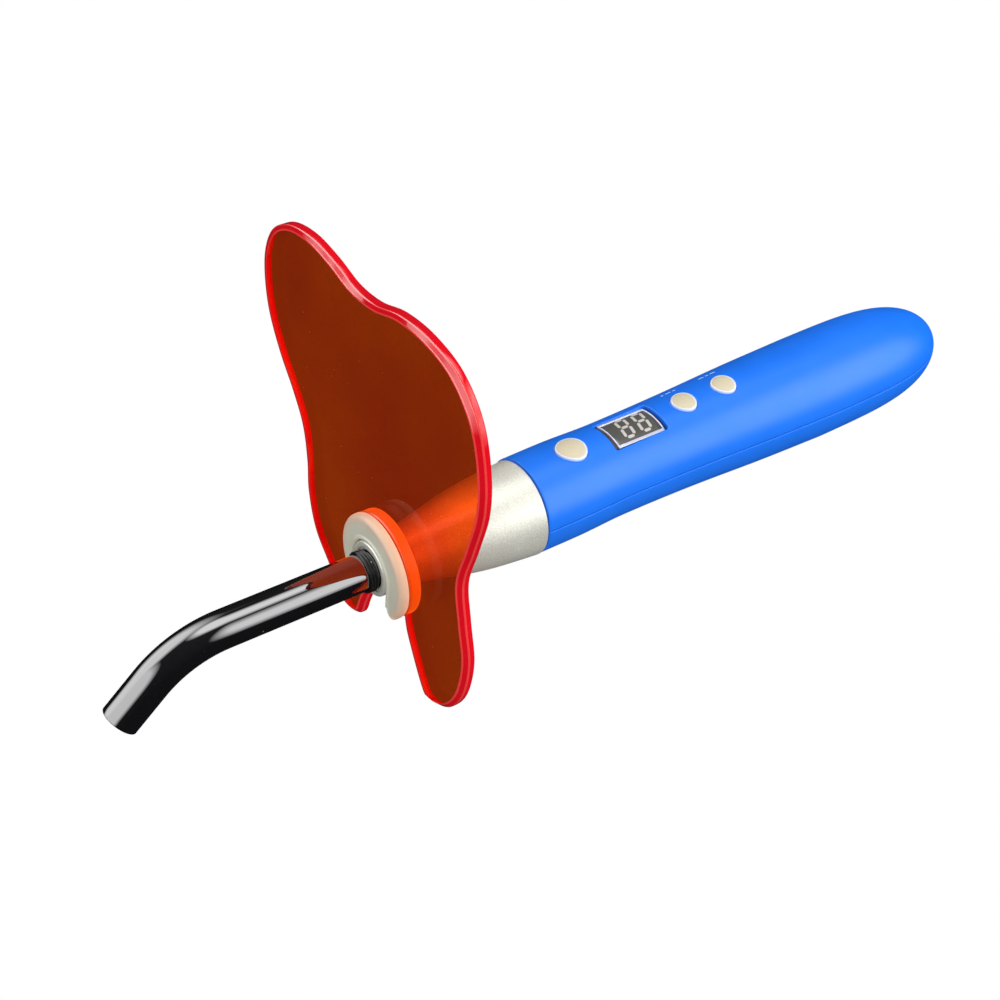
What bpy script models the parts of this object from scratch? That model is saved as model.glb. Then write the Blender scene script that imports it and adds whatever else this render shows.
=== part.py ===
"""Cordless dental curing light, built as separate parts.

X runs along the light guide's axis towards the tail, Z points up through the buttons, and the
origin is the middle of the grip. Every size below is in millimetres until a mesh is made.
"""

import math

import bmesh
import bpy
from mathutils import Matrix, Vector

MM = 0.001
GAP = 0.3  # between pieces that meet
WELD = 0.00001

# Handle: (x, radius, rise of the centre line) along the body, then a blunt round tail.
HANDLE_STATIONS = [
    (-70.4, 12.20, 0.36),
    (-58.0, 12.27, 0.66),
    (-45.0, 11.95, 0.96),
    (-24.0, 12.34, 1.33),
    (0.0, 13.30, 1.58),
    (20.0, 13.82, 1.80),
]
HANDLE_FRONT = HANDLE_STATIONS[0][0]
TAIL_START = HANDLE_STATIONS[-1][0]
TAIL_END = 66.2
TAIL_POWER = 3.9
TAIL_RISE = 1.3
SHELL_WALL = 1.6
SEAM_ABOVE_CENTRE = 1.1
HANDLE_SIDES = 36

# Head housing, from nose to handle: (x, radius).
HEAD_OUTSIDE = [
    (-103.4, 7.0),
    (-100.8, 7.5),
    (-97.0, 8.3),
    (-93.0, 9.2),
    (-88.0, 10.25),
    (-83.0, 11.0),
    (-77.0, 11.6),
    (-70.7, 12.1),
]
SPIGOT_END = -63.5
SPIGOT_RADIUS = 9.7
HEAD_BORE = 8.6
HEAD_BORE_START = -87.7
SEAL_GROOVE = (-68.2, -66.6)
SEAL_GROOVE_RADIUS = 9.1
SEAL_RADIUS = 9.8

# Neck, socket and light guide.
NECK_FRONT = -112.9
NECK_FLANGE_RADIUS = 6.9
NECK_FLANGE_THICKNESS = 2.3
NECK_CHAMFER = 0.4
STEM_RADIUS = 5.5
SOCKET_BORE = 4.8
SOCKET_RADIUS = 7.3
SOCKET_ENDS = (-96.8, -88.0)
O_RING_X = -94.6
O_RING_WIRE = 0.8
GUIDE_RADIUS = 4.5
GUIDE_WALL = 0.5
CORE_RADIUS = 3.7
GUIDE_INNER_END = -89.0
BEND_START = -150.3
BEND_RADIUS = 25.5
BEND_ANGLE = math.radians(45)
GUIDE_TIP_LENGTH = 11.0
FERRULE_ENDS = (-115.4, -113.2)
FERRULE_RIBS = 3
FERRULE_ROOT_RADIUS = 5.0
FERRULE_RIB_RADIUS = 5.3

# Shield, all on the neck: plate, ring and clip lie one behind the other.
CLIP_ENDS = (-112.9, -110.15)
RING_ENDS = (-109.85, -106.85)
PLATE_ENDS = (-106.55, -103.75)
CLIP_RADIUS = 13.1
RING_RADIUS = 13.0
CLIP_SLOT = NECK_FLANGE_RADIUS + GAP
PLATE_SLOT = STEM_RADIUS + GAP
PLATE_OUTLINE = [  # (y, z) from the slot's +Y wall round to its -Y wall
    (5.8, -13.0), (8.0, -16.2), (10.2, -19.4), (12.2, -24.8), (14.6, -30.9), (20.7, -31.9),
    (28.4, -25.1), (35.2, -18.3), (38.7, -8.6), (39.5, 0.9), (41.7, 10.2), (46.4, 17.6),
    (52.5, 24.9), (57.5, 33.3), (59.6, 42.1), (59.2, 50.5), (55.6, 58.0), (48.8, 63.1),
    (39.5, 65.3), (30.0, 64.7), (21.3, 63.1), (12.6, 64.0), (3.1, 67.3), (-7.6, 68.3),
    (-18.1, 66.1), (-26.2, 59.1), (-30.4, 48.6), (-31.4, 37.5), (-28.9, 25.0), (-26.3, 13.5),
    (-28.4, 3.0), (-31.0, -7.5), (-29.8, -18.7), (-25.7, -26.8), (-20.6, -30.8), (-16.6, -31.2),
    (-14.0, -28.7), (-10.3, -22.9), (-7.2, -17.4), (-5.8, -13.0),
]

# Lamp, from the lens back to the heat sink; profiles are (x, radius).
REFLECTOR = [(-78.9, 3.0), (-78.9, 8.3), (-87.4, 8.3), (-87.4, 6.1), (-84.5, 6.1), (-84.5, 5.6)]
LENS = [(-84.8, 0), (-84.8, 5.8), (-86.0, 5.8), (-86.6, 4.4), (-87.0, 2.4), (-87.1, 0)]
EMITTER = [(-77.9, 0), (-77.9, 2.0), (-78.5, 2.0), (-78.5, 1.5), (-79.1, 1.3), (-79.6, 0.7), (-79.7, 0)]
LED_BOARD_ENDS = (-77.6, -76.2)
SINK_ENDS = (-75.9, -62.5)
SINK_RADIUS = 7.2
FIN_COUNT = 4
FIN_ROOT_RADIUS = 5.6
FIN_START = 2.0
FIN_PITCH = 2.6
FIN_GROOVE = 1.1
SEAL_SIDE_GAP = 0.2

# Buttons: name, switch name, x, half length, half width.
BUTTONS = [
    ("on_off_button", "power_switch", -56.8, 4.0, 4.0),
    ("mode_button", "mode_switch", -21.95, 3.25, 3.4),
    ("time_button", "time_switch", -9.2, 3.25, 3.4),
]
BUTTON_SKEW = 0.15
BUTTON_PROUD = 0.5
FLANGE_OVERHANG = 0.9
FLANGE_DROP = 2.9
FLANGE_THICKNESS = 0.7
STEM_BOTTOM = 8.9
BUTTON_STEM_RADIUS = 1.5
SWITCH_HALF_SIZE = 2.5
SWITCH_HEIGHT = 1.1
PLUNGER_RADIUS = 1.2
PLUNGER_GAP = 0.6

# Display, in an opening of the upper shell.
DISPLAY_X = -38.4
DISPLAY_HALF_LENGTH = 8.0
DISPLAY_HALF_WIDTH = 5.1
DISPLAY_RISE = 1.0
FRAME_RAIL_X = 1.2
FRAME_RAIL_Y = 0.7
FRAME_RADII = (10.2, 11.7)
WINDOW_RADII = (10.4, 11.4)
MODULE_LOW = (-45.8, -4.6, 6.5)
MODULE_HIGH = (-31.2, 4.6, 9.7)

# Electronics.
BOARD_LOW = (-60.5, -6.9, 5.0)
BOARD_HIGH = (-3.5, 6.9, 6.2)
TRAY_LOW = (-61.0, -7.4, 3.2)
TRAY_HIGH = (-3.0, 7.4, 4.7)
BOSS_X = (-52.0, -14.0)
BOSS_RADIUS = 2.6
BOSS_CLEARANCE = 0.8  # the shell curves up beside the boss
SCREW_HEAD_RADIUS = 2.2
SCREW_SHANK_RADIUS = 1.0
SCREW_TOP = -3.0
SCREW_SINK = 0.05  # head over the shell's surface
SCREW_HEAD_HEIGHT = 0.45
SCREW_HOLE_RADIUS = 1.3
SCREW_HOLE_DEPTH = 0.8
CHIP_CORNERS = ((-30.0, -5.5), (-25.8, -1.3))
CHIP_HEIGHT = 1.0
BUZZER_X = -15.6
BUZZER_RADIUS = 3.0
BUZZER_HEIGHT = 2.2
CELL_RADIUS = 9.0
CELL_LENGTH = 44.0
CELL_RISE = 2.0
CELL_CHAMFER = 0.5
CELL_NUB_END = 45.0
CELL_NUB_RADIUS = 2.7
FRONT_TAB_ENDS = (-1.1, -0.5)
REAR_TAB_ENDS = (45.3, 45.9)
TAB_RADIUS = 4.0
CRADLE = [  # (x, radius about the cell's axis)
    (47.2, 3.0), (47.2, 10.4), (-2.6, 10.4), (-2.6, 3.0), (-1.4, 3.0), (-1.4, 9.3), (46.2, 9.3), (46.2, 3.0),
]
CONTACT_X = 51.5
CONTACT_Y = 3.0
CONTACT_RADIUS = 1.5
CONTACT_TIP = -9.4
CHARGE_BOARD_LOW = (47.5, -4.8, -4.9)
CHARGE_BOARD_HIGH = (53.5, 4.8, -3.9)
WIRE_RADIUS = 0.45
LED_LEAD = [
    (-60.9, 3.2, 5.6), (-61.6, 4.4, 6.1), (-63.0, 4.9, 6.3), (-66.0, 4.9, 6.2), (-70.0, 4.9, 6.2),
    (-77.3, 4.9, 6.2),
]
BATTERY_LEAD_RED = [
    (-3.0, 4.0, 5.6), (-2.4, 5.6, 8.2), (-0.8, 6.5, 9.8), (3.0, 6.6, 9.9), (15.0, 6.6, 9.9),
    (28.0, 6.6, 9.9), (41.5, 6.6, 9.9), (45.0, 6.5, 9.7), (46.2, 5.4, 7.8), (45.6, 3.7, 5.4),
]
BATTERY_LEAD_BLACK = [(-3.0, -4.6, 5.6), (-2.2, -4.9, 5.8), (-1.2, -4.4, 5.6), (-0.8, -3.9, 5.2)]

# Local Z, X and Y of a piece on to world X, Y and Z.
ALONG_X = Matrix(((0, 0, 1, 0), (1, 0, 0, 0), (0, 1, 0, 0), (0, 0, 0, 1)))
# Local X and Y on to world X and Z, with the thickness along Y.
ON_SIDE = Matrix(((1, 0, 0, 0), (0, 0, -1, 0), (0, 1, 0, 0), (0, 0, 0, 1)))

FINISHES = {  # colour, roughness, metallic
    "blue_plastic": ((0.02, 0.18, 0.85), 0.35, 0.0),
    "satin_aluminium": ((0.78, 0.78, 0.76), 0.35, 1.0),
    "steel": ((0.6, 0.6, 0.6), 0.3, 1.0),
    "black_glass": ((0.01, 0.01, 0.01), 0.05, 0.0),
    "fibre": ((0.8, 0.8, 0.75), 0.2, 0.0),
    "black_rubber": ((0.02, 0.02, 0.02), 0.6, 0.0),
    "shield_acrylic": ((0.75, 0.08, 0.01), 0.05, 0.0),
    "orange_acrylic": ((1.0, 0.16, 0.0), 0.2, 0.0),
    "white_plastic": ((0.75, 0.74, 0.66), 0.4, 0.0),
    "cream_rubber": ((0.8, 0.68, 0.45), 0.5, 0.0),
    "bright_trim": ((0.7, 0.7, 0.72), 0.2, 1.0),
    "dark_window": ((0.1, 0.1, 0.1), 0.1, 0.0),
    "clear_glass": ((0.9, 0.9, 0.9), 0.02, 0.0),
    "circuit_board": ((0.02, 0.25, 0.08), 0.4, 0.0),
    "black_plastic": ((0.03, 0.03, 0.03), 0.45, 0.0),
    "cell_wrap": ((0.1, 0.35, 0.2), 0.3, 0.0),
    "nickel": ((0.7, 0.68, 0.62), 0.25, 1.0),
    "gold_plate": ((0.9, 0.65, 0.25), 0.2, 1.0),
    "red_wire": ((0.7, 0.02, 0.02), 0.4, 0.0),
    "black_wire": ((0.02, 0.02, 0.02), 0.4, 0.0),
}


def interpolate(x, column):
    """Value of a handle station's column at x, on a smooth curve through the stations."""
    stations = HANDLE_STATIONS
    count = len(stations)
    slopes = []
    for i in range(count):
        before, after = stations[max(i - 1, 0)], stations[min(i + 1, count - 1)]
        slopes.append((after[column] - before[column]) / (after[0] - before[0]))
    i = next((k for k in range(count - 1) if x <= stations[k + 1][0]), count - 2)
    x0, x1 = stations[i][0], stations[i + 1][0]
    y0, y1 = stations[i][column], stations[i + 1][column]
    span = x1 - x0
    t = (x - x0) / span
    start = (2 * t**3 - 3 * t**2 + 1) * y0 + (t**3 - 2 * t**2 + t) * span * slopes[i]
    end = (3 * t**2 - 2 * t**3) * y1 + (t**3 - t**2) * span * slopes[i + 1]
    return start + end


def handle_radius(x):
    if x <= TAIL_START:
        return interpolate(x, 1)
    u = min((x - TAIL_START) / (TAIL_END - TAIL_START), 1.0)
    return HANDLE_STATIONS[-1][1] * math.sqrt(1 - u**TAIL_POWER)


def handle_rise(x):
    if x <= TAIL_START:
        return interpolate(x, 2)
    u = (x - TAIL_START) / (TAIL_END - TAIL_START)
    return HANDLE_STATIONS[-1][2] + TAIL_RISE * u


def handle_top(x):
    return handle_rise(x) + handle_radius(x)


def new_collection(name):
    collection = bpy.data.collections.new(name)
    bpy.context.scene.collection.children.link(collection)
    return collection


def start_scene():
    for old in list(bpy.data.objects):
        bpy.data.objects.remove(old, do_unlink=True)
    return new_collection("curing_light"), new_collection("cutters")


PARTS, CUTTERS = start_scene()


def finish_material(name):
    made = bpy.data.materials.get(name)
    if made:
        return made
    colour, roughness, metallic = FINISHES[name]
    made = bpy.data.materials.new(name)
    made.use_nodes = True
    shader = made.node_tree.nodes["Principled BSDF"]
    shader.inputs["Base Color"].default_value = (*colour, 1)
    shader.inputs["Roughness"].default_value = roughness
    shader.inputs["Metallic"].default_value = metallic
    return made


def place(name, mesh, finish, matrix=None):
    """Put a mesh in the scene as a part, or as a cutter when it has no finish."""
    obj = bpy.data.objects.new(name, mesh)
    obj.matrix_world = matrix or Matrix.Identity(4)
    if finish:
        mesh.materials.append(finish_material(finish))
        PARTS.objects.link(obj)
    else:
        CUTTERS.objects.link(obj)
        obj.hide_render = True
        obj.display_type = "WIRE"
    return obj


def at(x, y, z, turn=None):
    return Matrix.Translation(Vector((x, y, z)) * MM) @ (turn or Matrix.Identity(4))


def smooth(obj, angle=40):
    obj.data.shade_smooth()
    obj.data.set_sharp_from_angle(angle=math.radians(angle))


def turned(name, profile, finish, matrix=ALONG_X, sides=40):
    """Turn a profile of (along the axis, radius), outer side from high to low."""
    mesh = bpy.data.meshes.new(name)
    verts = [(r * MM, 0, along * MM) for along, r in profile]
    edges = [(i, i + 1) for i in range(len(profile) - 1)]
    if min(r for _, r in profile) > 0:
        edges.append((len(profile) - 1, 0))
    mesh.from_pydata(verts, edges, [])
    obj = place(name, mesh, finish, matrix)
    screw = obj.modifiers.new("turn", "SCREW")
    screw.axis = "Z"
    screw.angle = math.tau
    screw.steps = screw.render_steps = sides
    screw.use_merge_vertices = True
    screw.merge_threshold = WELD
    screw.use_smooth_shade = True
    return obj


def tube_ring(name, ends, inner, outer, finish, matrix=ALONG_X, sides=28):
    low, high = ends
    profile = [(high, inner), (high, outer), (low, outer), (low, inner)]
    return turned(name, profile, finish, matrix, sides)


def cylinder(name, ends, radius, finish, matrix=ALONG_X, sides=24):
    low, high = ends
    return turned(name, [(high, 0), (high, radius), (low, radius), (low, 0)], finish, matrix, sides)


def block(name, low, high, finish):
    """A box between two corners, with its origin in the middle."""
    mesh = bpy.data.meshes.new(name)
    centre = [(a + b) / 2 for a, b in zip(low, high)]
    size = [(b - a) * MM for a, b in zip(low, high)]
    bm = bmesh.new()
    bmesh.ops.create_cube(bm, size=1)
    bmesh.ops.scale(bm, vec=size, verts=bm.verts)
    bm.to_mesh(mesh)
    bm.free()
    return place(name, mesh, finish, at(*centre))


def curve_to_mesh(curve, name):
    """Mesh of a curve's evaluated shape, with its loose caps welded on."""
    holder = bpy.data.objects.new(name, curve)
    CUTTERS.objects.link(holder)
    bpy.context.view_layer.update()
    evaluated = holder.evaluated_get(bpy.context.evaluated_depsgraph_get())
    mesh = bpy.data.meshes.new_from_object(evaluated)
    bpy.data.objects.remove(holder)
    bpy.data.curves.remove(curve)
    bm = bmesh.new()
    bm.from_mesh(mesh)
    bmesh.ops.remove_doubles(bm, verts=bm.verts, dist=WELD)
    bmesh.ops.recalc_face_normals(bm, faces=bm.faces)
    bm.to_mesh(mesh)
    bm.free()
    return mesh


def poly_spline(curve, points, cyclic):
    spline = curve.splines.new("POLY")
    spline.points.add(len(points) - 1)
    for slot, point in zip(spline.points, points):
        slot.co = (*[value * MM for value in point], 1)
    spline.use_cyclic_u = cyclic


def prism(name, outline, ends, finish, turn=None):
    """Extrude a flat outline between two depths along the turned local Z."""
    low, high = ends
    curve = bpy.data.curves.new(name, "CURVE")
    curve.dimensions = "2D"
    curve.fill_mode = "BOTH"
    curve.extrude = (high - low) / 2 * MM
    poly_spline(curve, [(x, y, 0) for x, y in outline], True)
    turn = turn or Matrix.Identity(4)
    middle = turn @ Matrix.Translation((0, 0, (low + high) / 2 * MM))
    return place(name, curve_to_mesh(curve, name), finish, middle)


def wire(name, points, radius, finish):
    """A round lead along a smooth curve through the points."""
    curve = bpy.data.curves.new(name, "CURVE")
    curve.dimensions = "3D"
    curve.bevel_depth = radius * MM
    curve.bevel_resolution = 2
    curve.use_fill_caps = True
    poly_spline(curve, smooth_line(points, 2), False)
    obj = place(name, curve_to_mesh(curve, name), finish)
    smooth(obj)
    return obj


def spline_point(a, b, c, d, t):
    """One value between b and c on the smooth curve through a, b, c and d."""
    rise = (c - a) * t
    bend = (2 * a - 5 * b + 4 * c - d) * t**2
    twist = (3 * b - a - 3 * c + d) * t**3
    return (2 * b + rise + bend + twist) / 2


def smooth_line(points, steps):
    """Points on a smooth curve through the given points, ends included."""
    dense = []
    last = len(points) - 1
    for i in range(last):
        near = [points[min(max(k, 0), last)] for k in (i - 1, i, i + 1, i + 2)]
        for step in range(steps):
            dense.append(tuple(spline_point(*values, step / steps) for values in zip(*near)))
    dense.append(tuple(points[-1]))
    return dense


def arc(radius, start, end, steps):
    """Points on an arc about the origin, angles in degrees from the first axis."""
    angles = [math.radians(start + (end - start) * i / steps) for i in range(steps + 1)]
    return [(radius * math.cos(a), radius * math.sin(a)) for a in angles]


def rectangle(half_x, half_y, centre=(0, 0)):
    x, y = centre
    low, high = (x - half_x, y - half_y), (x + half_x, y + half_y)
    return [low, (high[0], low[1]), high, (low[0], high[1])]


def egg(half_length, half_width, sides=24):
    """Egg outline, its narrow end towards -X."""
    points = []
    for i in range(sides):
        t = math.tau * i / sides
        points.append((
            half_length * math.cos(t),
            half_width * math.sin(t) * (1 + BUTTON_SKEW * math.cos(t)),
        ))
    return points


def combine(obj, other, operation):
    step = obj.modifiers.new(operation.lower(), "BOOLEAN")
    step.operation = operation
    step.solver = "EXACT"
    step.object = other


def cut(obj, cutter):
    combine(obj, cutter, "DIFFERENCE")


# ---- Handle shells

def shell_mesh(name):
    """Open surface of the handle: rings along the body that close on the tail."""
    body_steps, tail_steps = 10, 10
    stations = [HANDLE_FRONT + (TAIL_START - HANDLE_FRONT) * i / body_steps for i in range(body_steps)]
    for i in range(tail_steps):
        stations.append(TAIL_START + (TAIL_END - TAIL_START) * math.sin(math.pi / 2 * i / tail_steps))
    bm = bmesh.new()
    rings = []
    for x in stations:
        ring = []
        for k in range(HANDLE_SIDES):
            angle = math.tau * k / HANDLE_SIDES
            y = handle_radius(x) * math.cos(angle)
            z = handle_rise(x) + handle_radius(x) * math.sin(angle)
            ring.append(bm.verts.new((x * MM, y * MM, z * MM)))
        rings.append(ring)
    pole = bm.verts.new((TAIL_END * MM, 0, handle_rise(TAIL_END) * MM))
    for near, far in zip(rings, rings[1:]):
        for k in range(HANDLE_SIDES):
            n = (k + 1) % HANDLE_SIDES
            bm.faces.new((near[k], far[k], far[n], near[n]))
    for k in range(HANDLE_SIDES):
        bm.faces.new((rings[-1][k], pole, rings[-1][(k + 1) % HANDLE_SIDES]))
    bmesh.ops.recalc_face_normals(bm, faces=bm.faces)
    mesh = bpy.data.meshes.new(name)
    bm.to_mesh(mesh)
    bm.free()
    return mesh


def half_space(name, side):
    """Everything above (+1) or below (-1) the seam, half a gap away from it."""
    far = 30.0
    seam = []
    for i in range(25):
        x = -80.0 + 160.0 * i / 24
        inside = min(max(x, HANDLE_FRONT), TAIL_END)
        seam.append((x, handle_rise(inside) + SEAM_ABOVE_CENTRE + side * GAP / 2))
    outline = seam + [(80.0, side * far), (-80.0, side * far)]
    return prism(name, outline, (-20.0, 20.0), None, ON_SIDE)


def handle_half(name, side):
    shell = place(name, shell_mesh(name), "blue_plastic")
    wall = shell.modifiers.new("wall", "SOLIDIFY")
    wall.thickness = SHELL_WALL * MM
    wall.offset = -1
    combine(shell, half_space(name + "_side", side), "INTERSECT")
    smooth(shell)
    return shell


def upper_shell():
    shell = handle_half("upper_shell", 1)
    outline = rectangle(DISPLAY_HALF_LENGTH, DISPLAY_HALF_WIDTH, (DISPLAY_X, 0))
    cut(shell, prism("display_opening", outline, (7.0, 20.0), None))
    for name, _, x, length, width in BUTTONS:
        outline = egg(length + GAP, width + GAP)
        hole = prism(name + "_hole", outline, (7.0, 20.0), None)
        hole.matrix_world = at(x, 0, 0) @ hole.matrix_world
        cut(shell, hole)


def lower_shell():
    shell = handle_half("lower_shell", -1)
    head_hole = SCREW_HEAD_RADIUS + GAP
    for i, x in enumerate(BOSS_X):
        bottom = handle_rise(x) - handle_radius(x)
        step, end = bottom + SCREW_HOLE_DEPTH, bottom - 3
        profile = [(0, 0), (0, SCREW_HOLE_RADIUS), (step, SCREW_HOLE_RADIUS), (step, head_hole),
                   (end, head_hole), (end, 0)]
        cut(shell, turned(f"screw_hole_{i}", profile, None, at(x, 0, 0), 20))
    for i, side in enumerate((-1, 1)):
        where = at(CONTACT_X, side * CONTACT_Y, 0)
        cut(shell, cylinder(f"contact_hole_{i}", (-12, -3), CONTACT_RADIUS + GAP, None, where, 20))


# ---- Head, neck and lamp

def head_housing():
    outside = list(reversed(HEAD_OUTSIDE))
    groove_low, groove_high = SEAL_GROOVE
    profile = [(SPIGOT_END, HEAD_BORE), (SPIGOT_END, SPIGOT_RADIUS), (groove_high, SPIGOT_RADIUS),
               (groove_high, SEAL_GROOVE_RADIUS), (groove_low, SEAL_GROOVE_RADIUS),
               (groove_low, SPIGOT_RADIUS), (outside[0][0], SPIGOT_RADIUS)]
    profile += outside
    neck_bore = STEM_RADIUS + GAP
    socket_bore = SOCKET_RADIUS + GAP
    socket_start = SOCKET_ENDS[0] - GAP
    profile += [(outside[-1][0], neck_bore), (socket_start, neck_bore), (socket_start, socket_bore),
                (HEAD_BORE_START, socket_bore), (HEAD_BORE_START, HEAD_BORE)]
    turned("head_housing", profile, "satin_aluminium", sides=36)


def neck_sleeve():
    flange_back = NECK_FRONT + NECK_FLANGE_THICKNESS
    stem_end = SOCKET_ENDS[0] - GAP
    profile = [(stem_end, SOCKET_BORE), (stem_end, STEM_RADIUS), (flange_back, STEM_RADIUS),
               (flange_back, NECK_FLANGE_RADIUS), (NECK_FRONT + NECK_CHAMFER, NECK_FLANGE_RADIUS),
               (NECK_FRONT, NECK_FLANGE_RADIUS - NECK_CHAMFER), (NECK_FRONT, SOCKET_BORE)]
    turned("neck_sleeve", profile, "steel", sides=32)


def guide_socket():
    low, high = SOCKET_ENDS
    groove = (O_RING_X - O_RING_WIRE - GAP, O_RING_X + O_RING_WIRE + GAP)
    groove_radius = SOCKET_BORE + 2 * O_RING_WIRE + GAP
    profile = [(high, SOCKET_BORE), (high, SOCKET_RADIUS), (low, SOCKET_RADIUS), (low, SOCKET_BORE),
               (groove[0], SOCKET_BORE), (groove[0], groove_radius), (groove[1], groove_radius),
               (groove[1], SOCKET_BORE)]
    turned("guide_socket", profile, "satin_aluminium", sides=24)


def lamp_parts():
    turned("reflector", REFLECTOR, "bright_trim", sides=24)
    turned("lens", LENS, "clear_glass", sides=24)
    turned("led_emitter", EMITTER, "clear_glass", sides=16)
    cylinder("led_board", LED_BOARD_ENDS, SINK_RADIUS, "circuit_board")
    low, high = SINK_ENDS
    fins = [(high, 0), (high, SINK_RADIUS)]
    for i in range(FIN_COUNT):
        x = high - FIN_START - FIN_PITCH * i
        fins += [(x, SINK_RADIUS), (x, FIN_ROOT_RADIUS), (x - FIN_GROOVE, FIN_ROOT_RADIUS),
                 (x - FIN_GROOVE, SINK_RADIUS)]
    fins += [(low, SINK_RADIUS), (low, 0)]
    turned("heat_sink", fins, "satin_aluminium", sides=20)
    seal_ends = (SEAL_GROOVE[0] + SEAL_SIDE_GAP, SEAL_GROOVE[1] - SEAL_SIDE_GAP)
    tube_ring("head_seal", seal_ends, SEAL_GROOVE_RADIUS + GAP, SEAL_RADIUS, "black_rubber")


# ---- Light guide

def guide_path(start):
    """Centre line of the guide from x = start to the tip, in the XZ plane."""
    path = [(start, 0, 0)]
    steps = 10
    for i in range(steps + 1):
        a = BEND_ANGLE * i / steps
        path.append((BEND_START - BEND_RADIUS * math.sin(a), 0, -BEND_RADIUS * (1 - math.cos(a))))
    end = Vector(path[-1]) + Vector((-math.cos(BEND_ANGLE), 0, -math.sin(BEND_ANGLE))) * GUIDE_TIP_LENGTH
    return path + [tuple(end)]


def guide_curve(name, radius, caps):
    curve = bpy.data.curves.new(name, "CURVE")
    curve.dimensions = "3D"
    curve.bevel_depth = radius * MM
    curve.bevel_resolution = 6
    curve.use_fill_caps = caps
    poly_spline(curve, guide_path(GUIDE_INNER_END), False)
    return curve_to_mesh(curve, name)


def light_guide():
    sheath = place("guide_sheath", guide_curve("guide_sheath", GUIDE_RADIUS, False), "black_glass")
    wall = sheath.modifiers.new("wall", "SOLIDIFY")
    wall.thickness = GUIDE_WALL * MM
    wall.offset = -1
    smooth(sheath)
    smooth(place("guide_core", guide_curve("guide_core", CORE_RADIUS, True), "fibre"))
    low, high = FERRULE_ENDS
    profile = [(high, SOCKET_BORE)]
    pitch = (high - low) / FERRULE_RIBS
    for i in range(FERRULE_RIBS):
        top = high - pitch * i
        profile += [(top, FERRULE_ROOT_RADIUS), (top - 0.2 * pitch, FERRULE_RIB_RADIUS),
                    (top - 0.8 * pitch, FERRULE_RIB_RADIUS)]
    profile += [(low, FERRULE_ROOT_RADIUS), (low, SOCKET_BORE)]
    turned("guide_ferrule", profile, "black_rubber", sides=24)


def o_ring():
    centre = SOCKET_BORE + O_RING_WIRE
    profile = [(O_RING_X + O_RING_WIRE * a, centre + O_RING_WIRE * b) for a, b in arc(1, 0, 315, 7)]
    turned("o_ring", profile, "black_rubber", sides=20)


# ---- Shield

def slot_outline(outer, slot):
    """C-shaped outline about the axis, open downwards between two straight walls."""
    half_gap = math.degrees(math.asin(slot / outer))
    outside = arc(outer, -90 + half_gap, 270 - half_gap, 36)
    return outside + list(reversed(arc(slot, 0, 180, 14)))


def shield():
    plate = smooth_line(PLATE_OUTLINE, 2) + list(reversed(arc(PLATE_SLOT, 0, 180, 14)))
    prism("shield_plate", plate, PLATE_ENDS, "shield_acrylic", ALONG_X)
    prism("shield_ring", slot_outline(RING_RADIUS, CLIP_SLOT), RING_ENDS, "orange_acrylic", ALONG_X)
    prism("shield_clip", slot_outline(CLIP_RADIUS, CLIP_SLOT), CLIP_ENDS, "white_plastic", ALONG_X)
    ends = (NECK_FRONT + NECK_FLANGE_THICKNESS + GAP, PLATE_ENDS[0] - GAP)
    tube_ring("shield_collar", ends, STEM_RADIUS + GAP, NECK_FLANGE_RADIUS, "steel")


# ---- Buttons and display

def button(name, switch, x, length, width):
    """Egg-shaped cap with a flange under the shell and a stem over its switch."""
    top = handle_top(x)
    flange_top = top - FLANGE_DROP
    flange_bottom = flange_top - FLANGE_THICKNESS
    outline = egg(length + FLANGE_OVERHANG, width + FLANGE_OVERHANG)
    body = prism(name, outline, (flange_bottom, flange_top), "cream_rubber")
    cap = prism(name + "_cap", egg(length, width), (flange_top - 0.2, top + 3), None)
    limit = cylinder(name + "_limit", (-8, 8), handle_radius(x) + BUTTON_PROUD, None, sides=64)
    limit.matrix_world = at(x, 0, handle_rise(x)) @ ALONG_X
    stem_ends = (STEM_BOTTOM, flange_bottom + 0.2)
    stem = cylinder(name + "_stem", stem_ends, BUTTON_STEM_RADIUS, None, at(x, 0, 0), 16)
    for piece in (body, cap):
        piece.matrix_world = at(x, 0, 0) @ piece.matrix_world
    combine(cap, limit, "INTERSECT")
    combine(body, cap, "UNION")
    combine(body, stem, "UNION")
    base, half = BOARD_HIGH[2] + GAP, SWITCH_HALF_SIZE
    case = block(switch, (x - half, -half, base), (x + half, half, base + SWITCH_HEIGHT), "black_plastic")
    ends = (base + SWITCH_HEIGHT / 2, STEM_BOTTOM - PLUNGER_GAP)
    plunger = cylinder(switch + "_plunger", ends, PLUNGER_RADIUS, None, at(x, 0, 0), 16)
    combine(case, plunger, "UNION")


def curved_panel(name, half_x, half_y, radii, finish):
    """A panel that follows the handle's round top, between two radii."""
    inner, outer = radii
    outline = rectangle(half_x, half_y, (DISPLAY_X, 0))
    panel = prism(name, outline, (5.0, 16.0), finish)
    axis = at(DISPLAY_X, 0, DISPLAY_RISE) @ ALONG_X
    combine(panel, cylinder(name + "_outside", (-12, 12), outer, None, axis, 72), "INTERSECT")
    cut(panel, cylinder(name + "_inside", (-12, 12), inner, None, axis, 72))
    return panel


def display():
    half_x = DISPLAY_HALF_LENGTH - GAP
    half_y = DISPLAY_HALF_WIDTH - GAP
    frame = curved_panel("display_frame", half_x, half_y, FRAME_RADII, "bright_trim")
    hole_x, hole_y = half_x - FRAME_RAIL_X, half_y - FRAME_RAIL_Y
    outline = rectangle(hole_x, hole_y, (DISPLAY_X, 0))
    cut(frame, prism("frame_hole", outline, (4.0, 18.0), None))
    curved_panel("display_window", hole_x - GAP, hole_y - GAP, WINDOW_RADII, "dark_window")
    block("display_module", MODULE_LOW, MODULE_HIGH, "black_plastic")


# ---- Inner frame and electronics

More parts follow.
